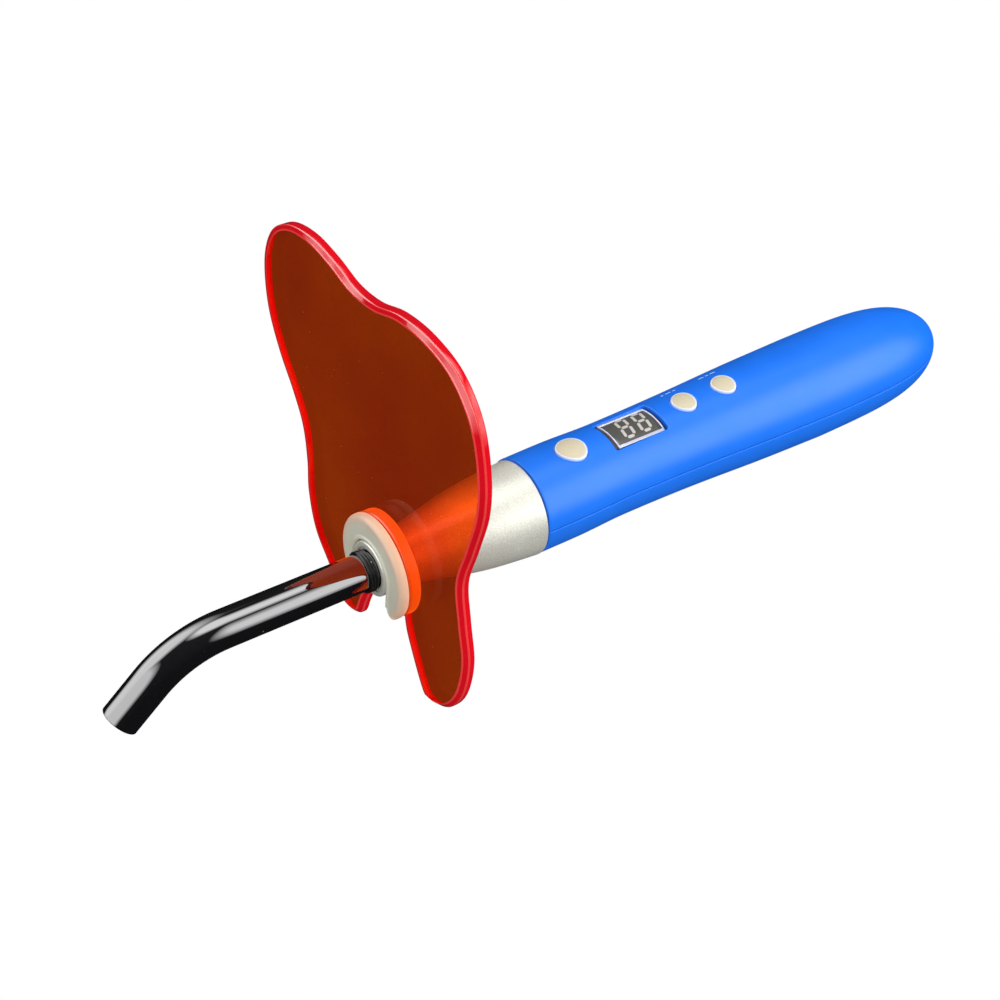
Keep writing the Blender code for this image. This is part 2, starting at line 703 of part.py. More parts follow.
def inner_frame():
    tray = block("inner_frame", TRAY_LOW, TRAY_HIGH, "black_plastic")
    for i, x in enumerate(BOSS_X):
        bottom = handle_rise(x) - handle_radius(x) + SHELL_WALL + BOSS_CLEARANCE
        boss = cylinder(f"boss_{i}", (bottom, TRAY_LOW[2] + 0.3), BOSS_RADIUS, None, at(x, 0, 0))
        combine(tray, boss, "UNION")
        bore_ends = (bottom - 1, SCREW_TOP + 1)
        cut(tray, cylinder(f"boss_bore_{i}", bore_ends, SCREW_HOLE_RADIUS, None, at(x, 0, 0), 16))


def frame_screw_profile(x):
    face = handle_rise(x) - handle_radius(x) + SCREW_SINK
    under = face + SCREW_HEAD_HEIGHT
    return [(SCREW_TOP, 0), (SCREW_TOP, SCREW_SHANK_RADIUS), (under, SCREW_SHANK_RADIUS),
            (under, SCREW_HEAD_RADIUS), (face, SCREW_HEAD_RADIUS), (face, 0)]


def electronics():
    block("main_board", BOARD_LOW, BOARD_HIGH, "circuit_board")
    top = BOARD_HIGH[2] + GAP
    (x0, y0), (x1, y1) = CHIP_CORNERS
    block("controller_chip", (x0, y0, top), (x1, y1, top + CHIP_HEIGHT), "black_plastic")
    cylinder("buzzer", (top, top + BUZZER_HEIGHT), BUZZER_RADIUS, "black_plastic", at(BUZZER_X, 0, 0))
    for i, x in enumerate(BOSS_X):
        turned(f"frame_screw_{i + 1}", frame_screw_profile(x), "steel", at(x, 0, 0), 20)


def power_parts():
    along = at(0, 0, CELL_RISE) @ ALONG_X
    cell = [(CELL_NUB_END, 0), (CELL_NUB_END, CELL_NUB_RADIUS), (CELL_LENGTH, CELL_NUB_RADIUS),
            (CELL_LENGTH, CELL_RADIUS - CELL_CHAMFER), (CELL_LENGTH - CELL_CHAMFER, CELL_RADIUS),
            (CELL_CHAMFER, CELL_RADIUS), (0, CELL_RADIUS - CELL_CHAMFER), (0, 0)]
    turned("battery_cell", cell, "cell_wrap", along, 28)
    cylinder("front_battery_tab", FRONT_TAB_ENDS, TAB_RADIUS, "nickel", along)
    cylinder("rear_battery_tab", REAR_TAB_ENDS, TAB_RADIUS, "nickel", along)
    cradle = turned("battery_cradle", CRADLE, "black_plastic", along, 28)
    cut(cradle, block("cradle_cut", (-5, -12, CELL_RISE + 0.2), (55, 12, 15), None))
    block("charge_board", CHARGE_BOARD_LOW, CHARGE_BOARD_HIGH, "circuit_board")
    for side, name in ((1, "charge_contact_a"), (-1, "charge_contact_b")):
        ends = (CONTACT_TIP, CHARGE_BOARD_LOW[2] - GAP)
        cylinder(name, ends, CONTACT_RADIUS, "gold_plate", at(CONTACT_X, side * CONTACT_Y, 0), 20)


def charge_lead_route(y, z):
    """From the main board, along the top of the cell, down to the charge board."""
    board_y = 0.6 * y
    return [(-3.0, board_y + 1.2, 5.6), (-2.3, 0.8 * y, z - 2.6), (-0.8, y, z - 0.2), (3.0, y, z),
            (16.0, y, z), (28.0, y, z), (41.0, y, z), (46.0, y, 8.4), (48.4, board_y, 2.0),
            (49.6, board_y, -3.1)]


def leads():
    for side, name, finish in ((1, "led_lead_red", "red_wire"), (-1, "led_lead_black", "black_wire")):
        wire(name, [(x, side * y, z) for x, y, z in LED_LEAD], WIRE_RADIUS, finish)
    wire("battery_lead_red", BATTERY_LEAD_RED, WIRE_RADIUS, "red_wire")
    wire("battery_lead_black", BATTERY_LEAD_BLACK, WIRE_RADIUS, "black_wire")
    wire("charge_lead_red", charge_lead_route(-3.6, 11.75), WIRE_RADIUS, "red_wire")
    wire("charge_lead_black", charge_lead_route(-6.4, 10.2), WIRE_RADIUS, "black_wire")


def build():
    upper_shell()
    lower_shell()
    head_housing()
    neck_sleeve()
    guide_socket()
    lamp_parts()
    light_guide()
    o_ring()
    shield()
    for row in BUTTONS:
        button(*row)
    display()
    inner_frame()
    electronics()
    power_parts()
    leads()


build()
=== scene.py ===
"""Looks of the cordless dental curing light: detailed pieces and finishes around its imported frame.

Sizes are millimetres in the row frame and become metres when a mesh is made. X runs along the light
guide towards the tail, Z points up through the buttons, and the origin is the middle of the grip.
"""

import math

import bmesh
import bpy
from mathutils import Matrix, Vector
from mathutils.geometry import delaunay_2d_cdt


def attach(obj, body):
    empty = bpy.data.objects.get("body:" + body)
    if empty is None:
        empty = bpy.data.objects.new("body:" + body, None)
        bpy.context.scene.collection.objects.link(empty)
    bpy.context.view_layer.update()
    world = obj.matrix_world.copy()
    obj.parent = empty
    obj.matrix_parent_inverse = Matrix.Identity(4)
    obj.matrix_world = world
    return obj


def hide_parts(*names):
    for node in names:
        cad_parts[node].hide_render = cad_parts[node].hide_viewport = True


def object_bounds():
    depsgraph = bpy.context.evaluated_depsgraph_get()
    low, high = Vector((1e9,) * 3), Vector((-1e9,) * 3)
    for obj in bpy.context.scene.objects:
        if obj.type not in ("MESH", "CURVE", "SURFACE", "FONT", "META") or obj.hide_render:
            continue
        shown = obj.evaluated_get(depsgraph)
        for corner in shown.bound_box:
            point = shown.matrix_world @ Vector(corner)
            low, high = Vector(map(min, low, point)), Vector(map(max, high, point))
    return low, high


MM = 0.001
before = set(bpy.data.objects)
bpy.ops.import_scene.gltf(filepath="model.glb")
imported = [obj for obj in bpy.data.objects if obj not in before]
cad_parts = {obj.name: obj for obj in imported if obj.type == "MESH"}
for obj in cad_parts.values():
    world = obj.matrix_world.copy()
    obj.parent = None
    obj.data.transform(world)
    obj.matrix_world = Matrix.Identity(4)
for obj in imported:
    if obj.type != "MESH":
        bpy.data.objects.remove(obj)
CAD_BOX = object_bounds()

# ---- Sizes, as in the frame's source

HANDLE_STATIONS = [  # (x, radius, rise of the centre line)
    (-70.4, 12.20, 0.36),
    (-58.0, 12.27, 0.66),
    (-45.0, 11.95, 0.96),
    (-24.0, 12.34, 1.33),
    (0.0, 13.30, 1.58),
    (20.0, 13.82, 1.80),
]
HANDLE_FRONT = HANDLE_STATIONS[0][0]
TAIL_START = HANDLE_STATIONS[-1][0]
TAIL_END = 66.2
TAIL_POWER = 3.9
TAIL_RISE = 1.3
SHELL_WALL = 1.6
SEAM_ABOVE_CENTRE = 1.1
SEAM_GAP = 0.2
SHELL_SPACING = 0.8
SHELL_COLUMNS = 44
SEAM_ROUND = 0.22
HOLE_MARGIN = 0.75  # skin round a hole that is triangulated afresh

HEAD_OUTSIDE = [  # (x, radius) from the nose back to the handle
    (-103.4, 7.0), (-100.8, 7.5), (-97.0, 8.3), (-93.0, 9.2), (-88.0, 10.25), (-83.0, 11.0),
    (-77.0, 11.6), (-70.6, 12.1),
]
NECK_FRONT = -112.9
NECK_RADIUS = 6.9
STEM_RADIUS = 5.5
SOCKET_BORE = 4.8
GUIDE_RADIUS = 4.5
CORE_RADIUS = 3.95
GUIDE_INNER_END = -89.0
BEND_START = -150.3
BEND_RADIUS = 25.5
BEND_ANGLE = math.radians(45)
GUIDE_TIP_LENGTH = 11.0
FERRULE_ENDS = (-115.4, -113.2)

CLIP_ENDS = (-112.9, -110.15)
RING_ENDS = (-109.85, -106.85)
PLATE_ENDS = (-106.55, -103.75)
CLIP_RADIUS = 13.1
RING_RADIUS = 13.0
CLIP_SLOT = 7.2
PLATE_OUTLINE = [  # (y, z) from the slot's +Y wall round to its -Y wall
    (5.8, -13.0), (8.0, -16.2), (10.2, -19.4), (12.2, -24.8), (14.6, -30.9), (20.7, -31.9),
    (28.4, -25.1), (35.2, -18.3), (38.7, -8.6), (39.5, 0.9), (41.7, 10.2), (46.4, 17.6),
    (52.5, 24.9), (57.5, 33.3), (59.6, 42.1), (59.2, 50.5), (55.6, 58.0), (48.8, 63.1),
    (39.5, 65.3), (30.0, 64.7), (21.3, 63.1), (12.6, 64.0), (3.1, 67.3), (-7.6, 68.3),
    (-18.1, 66.1), (-26.2, 59.1), (-30.4, 48.6), (-31.4, 37.5), (-28.9, 25.0), (-26.3, 13.5),
    (-28.4, 3.0), (-31.0, -7.5), (-29.8, -18.7), (-25.7, -26.8), (-20.6, -30.8), (-16.6, -31.2),
    (-14.0, -28.7), (-10.3, -22.9), (-7.2, -17.4), (-5.8, -13.0),
]
PLATE_SLOT = 5.8

BUTTONS = {  # x, half length, half width
    "on_off_button": (-56.8, 4.0, 4.0),
    "mode_button": (-21.95, 3.25, 3.4),
    "time_button": (-9.2, 3.25, 3.4),
}
BUTTON_SKEW = 0.15
BUTTON_GAP = 0.18

DISPLAY_X = -38.4
DISPLAY_RISE = 1.0
DISPLAY_OPENING = (8.0, 5.1)
DISPLAY_TURN_RADIUS = 11.7  # arc lengths on the display are measured at this radius

SCREW_X = (-52.0, -14.0)
SCREW_RADIUS = 2.2
CONTACT_X = 51.5
CONTACT_Y = 3.0
CONTACT_RADIUS = 1.5


def spline(a, b, c, d, t):
    """One value between b and c on the smooth curve through a, b, c and d."""
    return (2 * b + (c - a) * t + (2 * a - 5 * b + 4 * c - d) * t**2
            + (3 * b - a - 3 * c + d) * t**3) / 2


def smooth_line(points, steps, closed=False):
    count = len(points)
    dense = []
    for i in range(count if closed else count - 1):
        near = [points[k % count if closed else min(max(k, 0), count - 1)] for k in range(i - 1, i + 3)]
        dense += [tuple(spline(*values, s / steps) for values in zip(*near)) for s in range(steps)]
    return dense if closed else dense + [tuple(points[-1])]


def interpolate(x, column):
    """Value of a handle station's column at x, on a smooth curve through the stations."""
    stations = HANDLE_STATIONS
    count = len(stations)
    slopes = []
    for i in range(count):
        before, after = stations[max(i - 1, 0)], stations[min(i + 1, count - 1)]
        slopes.append((after[column] - before[column]) / (after[0] - before[0]))
    i = next((k for k in range(count - 1) if x <= stations[k + 1][0]), count - 2)
    x0, x1 = stations[i][0], stations[i + 1][0]
    y0, y1 = stations[i][column], stations[i + 1][column]
    span = x1 - x0
    t = (x - x0) / span
    start = (2 * t**3 - 3 * t**2 + 1) * y0 + (t**3 - 2 * t**2 + t) * span * slopes[i]
    end = (3 * t**2 - 2 * t**3) * y1 + (t**3 - t**2) * span * slopes[i + 1]
    return start + end


def handle_radius(x):
    if x <= TAIL_START:
        return interpolate(x, 1)
    u = min((x - TAIL_START) / (TAIL_END - TAIL_START), 1.0)
    return HANDLE_STATIONS[-1][1] * math.sqrt(max(1 - u**TAIL_POWER, 0))


def handle_rise(x):
    if x <= TAIL_START:
        return interpolate(x, 2)
    u = (x - TAIL_START) / (TAIL_END - TAIL_START)
    return HANDLE_STATIONS[-1][2] + TAIL_RISE * u


def handle_slope(x):
    """(x, radius) parts of the handle profile's outward normal."""
    step = 0.02
    low, high = max(x - step, HANDLE_FRONT), min(x + step, TAIL_END)
    slope = (handle_radius(high) - handle_radius(low)) / (high - low)
    length = math.hypot(1, slope)
    return -slope / length, 1 / length


# ---- Mesh helpers

SHARP_ANGLE = math.radians(38)  # edges that turn more are kept crisp
SAME_PLACE = 1e-7


def arc(radius, start, end, steps):
    """Points on an arc about the origin, angles in degrees from the first axis."""
    angles = [math.radians(start + (end - start) * i / steps) for i in range(steps + 1)]
    return [(radius * math.cos(a), radius * math.sin(a)) for a in angles]


def rounding(radius, steps=4):
    """(inset, depth) pairs that round an edge, from the side wall up to the face."""
    turns = [math.pi / 2 * i / steps for i in range(steps, -1, -1)]
    return [(radius * (1 - math.sin(a)), radius * (1 - math.cos(a))) for a in turns]


def inset(loop, distance):
    """A counter-clockwise loop moved inwards by a distance, with mitred corners."""
    moved = []
    count = len(loop)
    for i in range(count):
        (ax, ay), (bx, by), (cx, cy) = loop[i - 1], loop[i], loop[(i + 1) % count]
        before, after = math.hypot(bx - ax, by - ay), math.hypot(cx - bx, cy - by)
        n1 = ((ay - by) / before, (bx - ax) / before)
        n2 = ((by - cy) / after, (cx - bx) / after)
        share = distance / max(1 + n1[0] * n2[0] + n1[1] * n2[1], 0.4)
        moved.append((bx + (n1[0] + n2[0]) * share, by + (n1[1] + n2[1]) * share))
    return moved


def inside(point, loop):
    x, y = point
    found = False
    for (ax, ay), (bx, by) in zip(loop, loop[1:] + loop[:1]):
        if (ay > y) != (by > y) and x < (bx - ax) * (y - ay) / (by - ay) + ax:
            found = not found
    return found


def fill(loop, holes, spacing, extra=()):
    """Triangles over a loop with holes. Returns added points and faces; indices run over the loop,
    then each hole, then the added points."""
    points = list(loop)
    edges = [(i, (i + 1) % len(loop)) for i in range(len(loop))]
    for hole in holes:
        start = len(points)
        points += hole
        edges += [(start + i, start + (i + 1) % len(hole)) for i in range(len(hole))]
    fixed = len(points)
    candidates = list(extra)
    if spacing:
        low = [min(p[k] for p in loop) for k in (0, 1)]
        high = [max(p[k] for p in loop) for k in (0, 1)]
        counts = [max(int((h - l) / spacing), 1) for l, h in zip(low, high)]
        candidates += [
            (low[0] + (high[0] - low[0]) * i / counts[0], low[1] + (high[1] - low[1]) * j / counts[1])
            for i in range(1, counts[0]) for j in range(1, counts[1])
        ]
    if candidates:
        clear = 0.45 * (spacing or SHELL_SPACING)
        inner = inset(loop, clear)
        wide = [inset(h, -clear) for h in holes]
        points += [p for p in candidates if inside(p, inner) and not any(inside(p, w) for w in wide)]
    made = delaunay_2d_cdt([Vector(p) for p in points], edges, [], 1, 1e-6)
    origin = [ids[0] if ids else None for ids in made[3]]
    faces = []
    for face in made[2]:
        middle = tuple(sum(made[0][k][axis] for k in face) / len(face) for axis in (0, 1))
        if inside(middle, loop) and not any(inside(middle, h) for h in holes):
            faces.append([origin[k] for k in face])
    return points[fixed:], faces


def relief(loop, rows, surface, spacing=None, holes=()):
    """Closed body over a loop: rows of (inset, depth) climb from the back edge to the face.
    surface(u, v, depth) places a point. A row's depth is a number, or one number per loop point."""
    verts, faces, caps = [], [], []
    loops = [loop] + list(holes)
    rims = []
    for number, base in enumerate(loops):
        rings = []
        for distance, depth in rows:
            ring = inset(base, distance if number == 0 else -distance)
            depths = depth if isinstance(depth, (list, tuple)) else [depth] * len(ring)
            rings.append((len(verts), ring))
            verts += [surface(u, v, d) for (u, v), d in zip(ring, depths)]
        for (low, ring), (high, _) in zip(rings, rings[1:]):
            count = len(ring)
            for i in range(count):
                n = (i + 1) % count
                faces.append([low + i, low + n, high + n, high + i])
        rims.append(rings)
    for end, depth in ((-1, rows[-1][1]), (0, rows[0][1])):
        outer = rims[0][end]
        inner = [r[end] for r in rims[1:]]
        added, triangles = fill(outer[1], [ring for _, ring in inner], spacing)
        index = [start + i for start, ring in [outer] + inner for i in range(len(ring))]
        index += range(len(verts), len(verts) + len(added))
        flat = max(depth) if isinstance(depth, (list, tuple)) else depth
        verts += [surface(u, v, flat) for u, v in added]
        caps += range(len(faces), len(faces) + len(triangles))
        faces += [[index[k] for k in t] for t in triangles]
    return verts, faces, caps


def revolve(profile, sides=96):
    """A closed profile of (along, radius), or one that starts and ends on the axis, turned about X."""
    verts, faces, rings = [], [], []
    for along, radius in profile:
        start = len(verts)
        if radius <= 0:
            verts.append((along, 0, 0))
            rings.append([start] * sides)
        else:
            verts += [(along, y, z) for y, z in arc(radius, 0, 360, sides)[:-1]]
            rings.append(list(range(start, start + sides)))
    closed = profile[0][1] > 0
    pairs = list(zip(rings, rings[1:])) + ([(rings[-1], rings[0])] if closed else [])
    for near, far in pairs:
        for i in range(sides):
            n = (i + 1) % sides
            face = list(dict.fromkeys((near[i], near[n], far[n], far[i])))
            if len(face) > 2:
                faces.append(face)
    return verts, faces


def rounded(profile, radii, steps=4):
    """Round a closed profile's corners; radii maps a corner's index to its radius."""
    made = []
    count = len(profile)
    for i, corner in enumerate(profile):
        radius = radii.get(i, 0) if isinstance(radii, dict) else radii
        if not radius:
            made.append(corner)
            continue
        p = Vector(corner)
        a, b = Vector(profile[i - 1]) - p, Vector(profile[(i + 1) % count]) - p
        half = a.angle(b) / 2
        reach = min(radius / math.tan(half), a.length * 0.48, b.length * 0.48)
        start, end = p + a.normalized() * reach, p + b.normalized() * reach
        for k in range(steps + 1):
            t = k / steps
            made.append(tuple(start * (1 - t) ** 2 + p * 2 * t * (1 - t) + end * t**2))
    return made


def stand(body, x, y=0.0):
    """A body turned so that its X axis points up through (x, y)."""
    return [(x + b, y + c, a) for a, b, c in body[0]], body[1]


def joined(*bodies):
    verts, faces = [], []
    for body in bodies:
        start = len(verts)
        verts += body[0]
        faces += [[start + k for k in face] for face in body[1]]
    return verts, faces


def piece(name, body, rides, slot, stands_for=(), finishes=(), caps=(), paint=None):
    """Make a mesh piece: where it rides, its slot, the CAD nodes it stands for, and its finishes where
    they aren't just its slot's. caps are flat faces kept crisp. paint(centre, number) gives a face's
    finish number."""
    mesh = bpy.data.meshes.new(name)
    mesh.from_pydata([tuple(c * MM for c in v) for v in body[0]], [], body[1])
    for look in finishes or [slot]:
        mesh.materials.append(LOOKS[look])
    flat = set(caps)
    bm = bmesh.new()
    bm.from_mesh(mesh)
    for face in bm.faces:
        face.smooth = True
        if paint:
            face.material_index = paint(face.calc_center_median() / MM, face.index)
    for edge in bm.edges:
        steep = len(edge.link_faces) == 2 and edge.calc_face_angle(0) > SHARP_ANGLE
        flat_sides = {face.index in flat for face in edge.link_faces}
        if steep or len(flat_sides) == 2:
            edge.smooth = False
    bmesh.ops.remove_doubles(bm, verts=bm.verts, dist=SAME_PLACE)
    bmesh.ops.recalc_face_normals(bm, faces=bm.faces)
    bm.to_mesh(mesh)
    bm.free()
    obj = bpy.data.objects.new(name, mesh)
    bpy.context.scene.collection.objects.link(obj)
    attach(obj, rides)
    if stands_for:
        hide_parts(*stands_for)


# ---- Finishes

LOOKS = {}  # every finish by its name, which is its slot's name where it has one
NOISE_SPAN = (0.3, 0.7)  # where nearly all of a noise texture's values lie
DRIFT = 0.03
BROAD_SCALE = 110.0
SPECK_SCALE, SPECK_SIZE = 420.0, 0.09
GRAIN_HEIGHT = 0.00005
COAT_PATCH = (0.46, 0.60, 0.08, 0.85)  # noise values, and the coat's weight at each


def node(tree, kind, inputs=None, **settings):
    """Add a shader node; inputs are values or the sockets that feed them."""
    made = tree.nodes.new("ShaderNode" + kind)
    for key, value in settings.items():
        setattr(made, key, value)
    for key, value in (inputs or {}).items():
        if isinstance(value, bpy.types.NodeSocket):
            tree.links.new(value, made.inputs[key])
        else:
            made.inputs[key].default_value = value
    return made


def ramp(tree, value, low, high, start, end):
    """A value mapped from low..high to start..end, kept in that range."""
    inputs = {"Value": value, "From Min": low, "From Max": high, "To Min": start, "To Max": end}
    return node(tree, "MapRange", inputs).outputs["Result"]


def mixed(tree, factor, first, second):
    return node(tree, "Mix", {0: factor, 6: first, 7: second}, data_type="RGBA").outputs[2]


def noise(tree, where, scale, **inputs):
    return node(tree, "TexNoise", {"Vector": where, "Scale": scale} | inputs).outputs["Fac"]


def maths(tree, operation, first, second):
    return node(tree, "Math", {0: first, 1: second}, operation=operation).outputs[0]


def speck_mask(tree, where, share):
    """1 inside small scattered dots, 0 between them; share is the part of the cells that has one."""
    cells = node(tree, "TexVoronoi", {"Vector": where, "Scale": SPECK_SCALE, "Randomness": 1.0})
    dot = ramp(tree, cells.outputs["Distance"], SPECK_SIZE, SPECK_SIZE * 0.5, 0.0, 1.0)
    chosen = node(tree, "SeparateColor", {"Color": cells.outputs["Color"]}).outputs["Red"]
    return maths(tree, "MULTIPLY", dot, maths(tree, "LESS_THAN", chosen, share))


def finish(name, colour, roughness, metallic=0.0, grain=3000.0, mottle=0.06, bump=0.05, spread=0.05,
           specks=0.0, speck_colour=(0.6, 0.58, 0.55, 1), tint=None, patches=None, **extra):
    """A Principled finish with mottled colour, uneven gloss, a grained surface and dust specks; on the black
    rubber the specks are also painted glints. tint(tree, where, colour socket) may recolour it; patches is
    the scale of an uneven coat; extra names other Principled inputs."""
    made = bpy.data.materials.new("look_" + name)
    made.use_nodes = True
    tree = made.node_tree
    shader = tree.nodes["Principled BSDF"]
    where = node(tree, "TexCoord").outputs["Object"]
    fine = noise(tree, where, grain, Detail=5.0, Roughness=0.65)
    broad = noise(tree, where, BROAD_SCALE, Detail=4.0)
    value = ramp(tree, fine, *NOISE_SPAN, 1 - mottle, 1 + mottle)
    drift = ramp(tree, broad, *NOISE_SPAN, 1 - DRIFT, 1 + DRIFT)
    value = maths(tree, "MULTIPLY", value, drift)
    base = node(tree, "RGB")
    base.outputs[0].default_value = (*colour, 1)
    tone = base.outputs[0]
    if tint:
        tone = tint(tree, where, tone)
    tone = node(tree, "HueSaturation", {"Value": value, "Color": tone}).outputs["Color"]
    rough = ramp(tree, broad, *NOISE_SPAN, max(roughness - spread, 0.0), roughness + spread)
    if specks:
        mask = speck_mask(tree, where, specks)
        tone = mixed(tree, mask, tone, speck_colour)
        rough = maths(tree, "MAXIMUM", mask, rough)
    tree.links.new(tone, shader.inputs["Base Color"])
    tree.links.new(rough, shader.inputs["Roughness"])
    shader.inputs["Metallic"].default_value = metallic
    if bump:
        raised = node(tree, "Bump", {"Strength": bump, "Distance": GRAIN_HEIGHT, "Height": fine})
        tree.links.new(raised.outputs["Normal"], shader.inputs["Normal"])
    for key, setting in extra.items():
        shader.inputs[key.replace("_", " ")].default_value = setting
    if patches:
        waves = noise(tree, where, patches, Detail=1.5, Distortion=0.6)
        coat = ramp(tree, waves, *COAT_PATCH)
        tree.links.new(coat, shader.inputs["Coat Weight"])
    LOOKS[name] = made


def radial_tint(inner, outer, edge_colour, share):
    """Blend towards a colour from an inner to an outer distance from the guide's axis."""
    def apply(tree, where, tone):
        axes = node(tree, "SeparateXYZ", {"Vector": where})
        flat = node(tree, "CombineXYZ", {"Y": axes.outputs["Y"], "Z": axes.outputs["Z"]})
        length = node(tree, "VectorMath", {0: flat.outputs[0]}, operation="LENGTH").outputs["Value"]
        factor = ramp(tree, length, inner * MM, outer * MM, 0.0, share)
        return mixed(tree, factor, tone, (*edge_colour, 1))
    return apply


def cell_tint(scale, line_colour, width):
    """Cells with a line between them, as a bundle of fibres has."""
    def apply(tree, where, tone):
        cells = node(tree, "TexVoronoi", {"Vector": where, "Scale": scale, "Randomness": 0.6},
                     feature="DISTANCE_TO_EDGE")
        factor = ramp(tree, cells.outputs["Distance"], 0.0, width, 1.0, 0.0)
        return mixed(tree, factor, tone, (*line_colour, 1))
    return apply


def track_tint(scale, line_colour):
    """Thin straight copper tracks over a circuit board's colour."""
    def apply(tree, where, tone):
        bricks = node(tree, "TexBrick", {"Vector": where, "Scale": scale, "Mortar Size": 0.018,
                                         "Color1": (0, 0, 0, 1), "Color2": (0.2, 0.2, 0.2, 1),
                                         "Mortar": (1, 1, 1, 1)})
        return mixed(tree, bricks.outputs["Fac"], tone, (*line_colour, 1))
    return apply


def band_tint(scale, line_colour, share):
    """Printed bands round a wrapped cell."""
    def apply(tree, where, tone):
        waves = node(tree, "TexWave", {"Vector": where, "Scale": scale, "Distortion": 0.3},
                     wave_type="BANDS", bands_direction="X")
        factor = ramp(tree, waves.outputs["Fac"], 0.93, 0.97, 0.0, share)
        return mixed(tree, factor, tone, (*line_colour, 1))
    return apply


def drift_tint(scale, other_colour, share):
    """Broad soft clouds of another colour."""
    def apply(tree, where, tone):
        factor = ramp(tree, noise(tree, where, scale, Detail=2.0), 0.42, 0.66, 0.0, share)
        return mixed(tree, factor, tone, (*other_colour, 1))
    return apply


def clear_tinted(name, tint):
    """Light that falls on other surfaces passes a see-through finish with its tint."""
    tree = LOOKS[name].node_tree
    shader = tree.nodes["Principled BSDF"]
    passing = node(tree, "BsdfTransparent", {"Color": (*tint, 1)})
    path = node(tree, "LightPath").outputs
    falling = maths(tree, "MAXIMUM", path["Is Shadow Ray"], path["Is Diffuse Ray"])
    both = node(tree, "MixShader", {0: falling, 1: shader.outputs[0], 2: passing.outputs[0]})
    tree.links.new(both.outputs[0], tree.nodes["Material Output"].inputs["Surface"])


finish("blue_plastic", (0.001, 0.172, 0.90), 0.38, grain=5200, mottle=0.03, bump=0.10, spread=0.03)
finish("satin_aluminium", (0.68, 0.69, 0.615), 0.42, 0.35, grain=3800, mottle=0.24, bump=0.9,
       specks=0.12, speck_colour=(0.95, 0.95, 0.92, 1))
finish("steel", (0.78, 0.77, 0.69), 0.30, 0.35, grain=3200, mottle=0.08, bump=0.30, spread=0.06)
finish("black_glass", (0.005, 0.005, 0.006), 0.03, grain=900, mottle=0.2, bump=0.006,
       spread=0.012, specks=0.04, speck_colour=(0.2, 0.19, 0.18, 1), IOR=2.2)
finish("fibre", (0.80, 0.82, 0.78), 0.16, mottle=0.04, tint=cell_tint(5200.0, (0.22, 0.22, 0.2), 0.05),
       Coat_Weight=0.6)
# The black rubber's pale specks are dust and painted glints on the ferrule's ribs.
finish("black_rubber", (0.008, 0.008, 0.009), 0.30, grain=2200, mottle=0.25, bump=0.35,
       spread=0.08, specks=0.3, Specular_IOR_Level=0.25, Coat_Weight=0.25, Coat_Roughness=0.04)
finish("shield_acrylic", (0.98, 0.105, 0.008), 0.03, grain=700, mottle=0.03, bump=0.006,
       spread=0.012, specks=0.2, speck_colour=(1.0, 0.4, 0.25, 1),
       tint=drift_tint(24.0, (0.80, 0.055, 0.012), 0.7), Transmission_Weight=1.0, IOR=1.08,
       Specular_IOR_Level=0.04)
clear_tinted("shield_acrylic", (1.0, 0.92, 0.85))
# The rim's faint red emission is a painted glow.
finish("shield_rim", (0.66, 0.003, 0.012), 0.12, grain=1500, mottle=0.08, patches=75.0,
       Specular_IOR_Level=0.2, Coat_Roughness=0.05, Emission_Color=(0.9, 0.01, 0.02, 1),
       Emission_Strength=0.12)
# shield_edge paints the lines where the plate's bevel turns brighter red with a little emission: painted
# highlight lines.
finish("shield_edge", (0.90, 0.05, 0.05), 0.15, grain=1500, mottle=0.10, Coat_Weight=1.0,
       Coat_Roughness=0.06, Emission_Color=(1.0, 0.08, 0.06, 1), Emission_Strength=0.10)
# shield_glow's emission is a painted glow along the plate's outer line, where light enters its edge.
finish("shield_glow", (1.0, 0.16, 0.02), 0.15, grain=1500, mottle=0.15, Coat_Weight=1.0,
       Coat_Roughness=0.06, Emission_Color=(1.0, 0.22, 0.03, 1), Emission_Strength=0.55)
# The ring's faint orange emission is a painted glow.
finish("orange_acrylic", (0.82, 0.062, 0.0), 0.20, grain=1800, mottle=0.03, Coat_Weight=0.4,
       Coat_Roughness=0.08, Emission_Color=(1.0, 0.10, 0.0, 1), Emission_Strength=0.10)
# The peach blend towards the clip's outer edge is painted orange light from the ring beside it.
finish("white_plastic", (0.70, 0.69, 0.57), 0.34, grain=2600, mottle=0.035, bump=0.12,
       tint=radial_tint(10.5, 13.2, (1.0, 0.42, 0.22), 0.5), Subsurface_Weight=0.2,
       Subsurface_Radius=(0.003, 0.0015, 0.0008), Subsurface_Scale=1.0)
finish("cream_rubber", (0.66, 0.59, 0.42), 0.50, grain=2400, bump=0.30)
finish("button_rim", (0.74, 0.83, 0.95), 0.32, grain=2400, mottle=0.03, bump=0.15)
finish("bright_trim", (0.72, 0.74, 0.86), 0.26, 0.4, bump=0.15)
finish("dark_window", (0.105, 0.105, 0.098), 0.12, grain=1500, mottle=0.10, bump=0.01,
       Coat_Weight=0.6, Coat_Roughness=0.04)
finish("display_segment", (0.60, 0.57, 0.53), 0.30, mottle=0.05)
finish("clear_glass", (0.95, 0.97, 1.0), 0.03, grain=900, mottle=0.02, bump=0.01,
       Transmission_Weight=1.0, IOR=1.5)
finish("circuit_board", (0.02, 0.22, 0.07), 0.35, grain=2600, mottle=0.10, bump=0.20,
       tint=track_tint(160.0, (0.10, 0.42, 0.16)), Coat_Weight=0.3)
finish("black_plastic", (0.022, 0.022, 0.024), 0.42, grain=3600, mottle=0.12, bump=0.25)
finish("cell_wrap", (0.06, 0.30, 0.14), 0.28, grain=1500, bump=0.08,
       tint=band_tint(24.0, (0.75, 0.78, 0.75), 0.8), Coat_Weight=0.4)
finish("nickel", (0.70, 0.67, 0.60), 0.24, 1.0, mottle=0.08, bump=0.20)
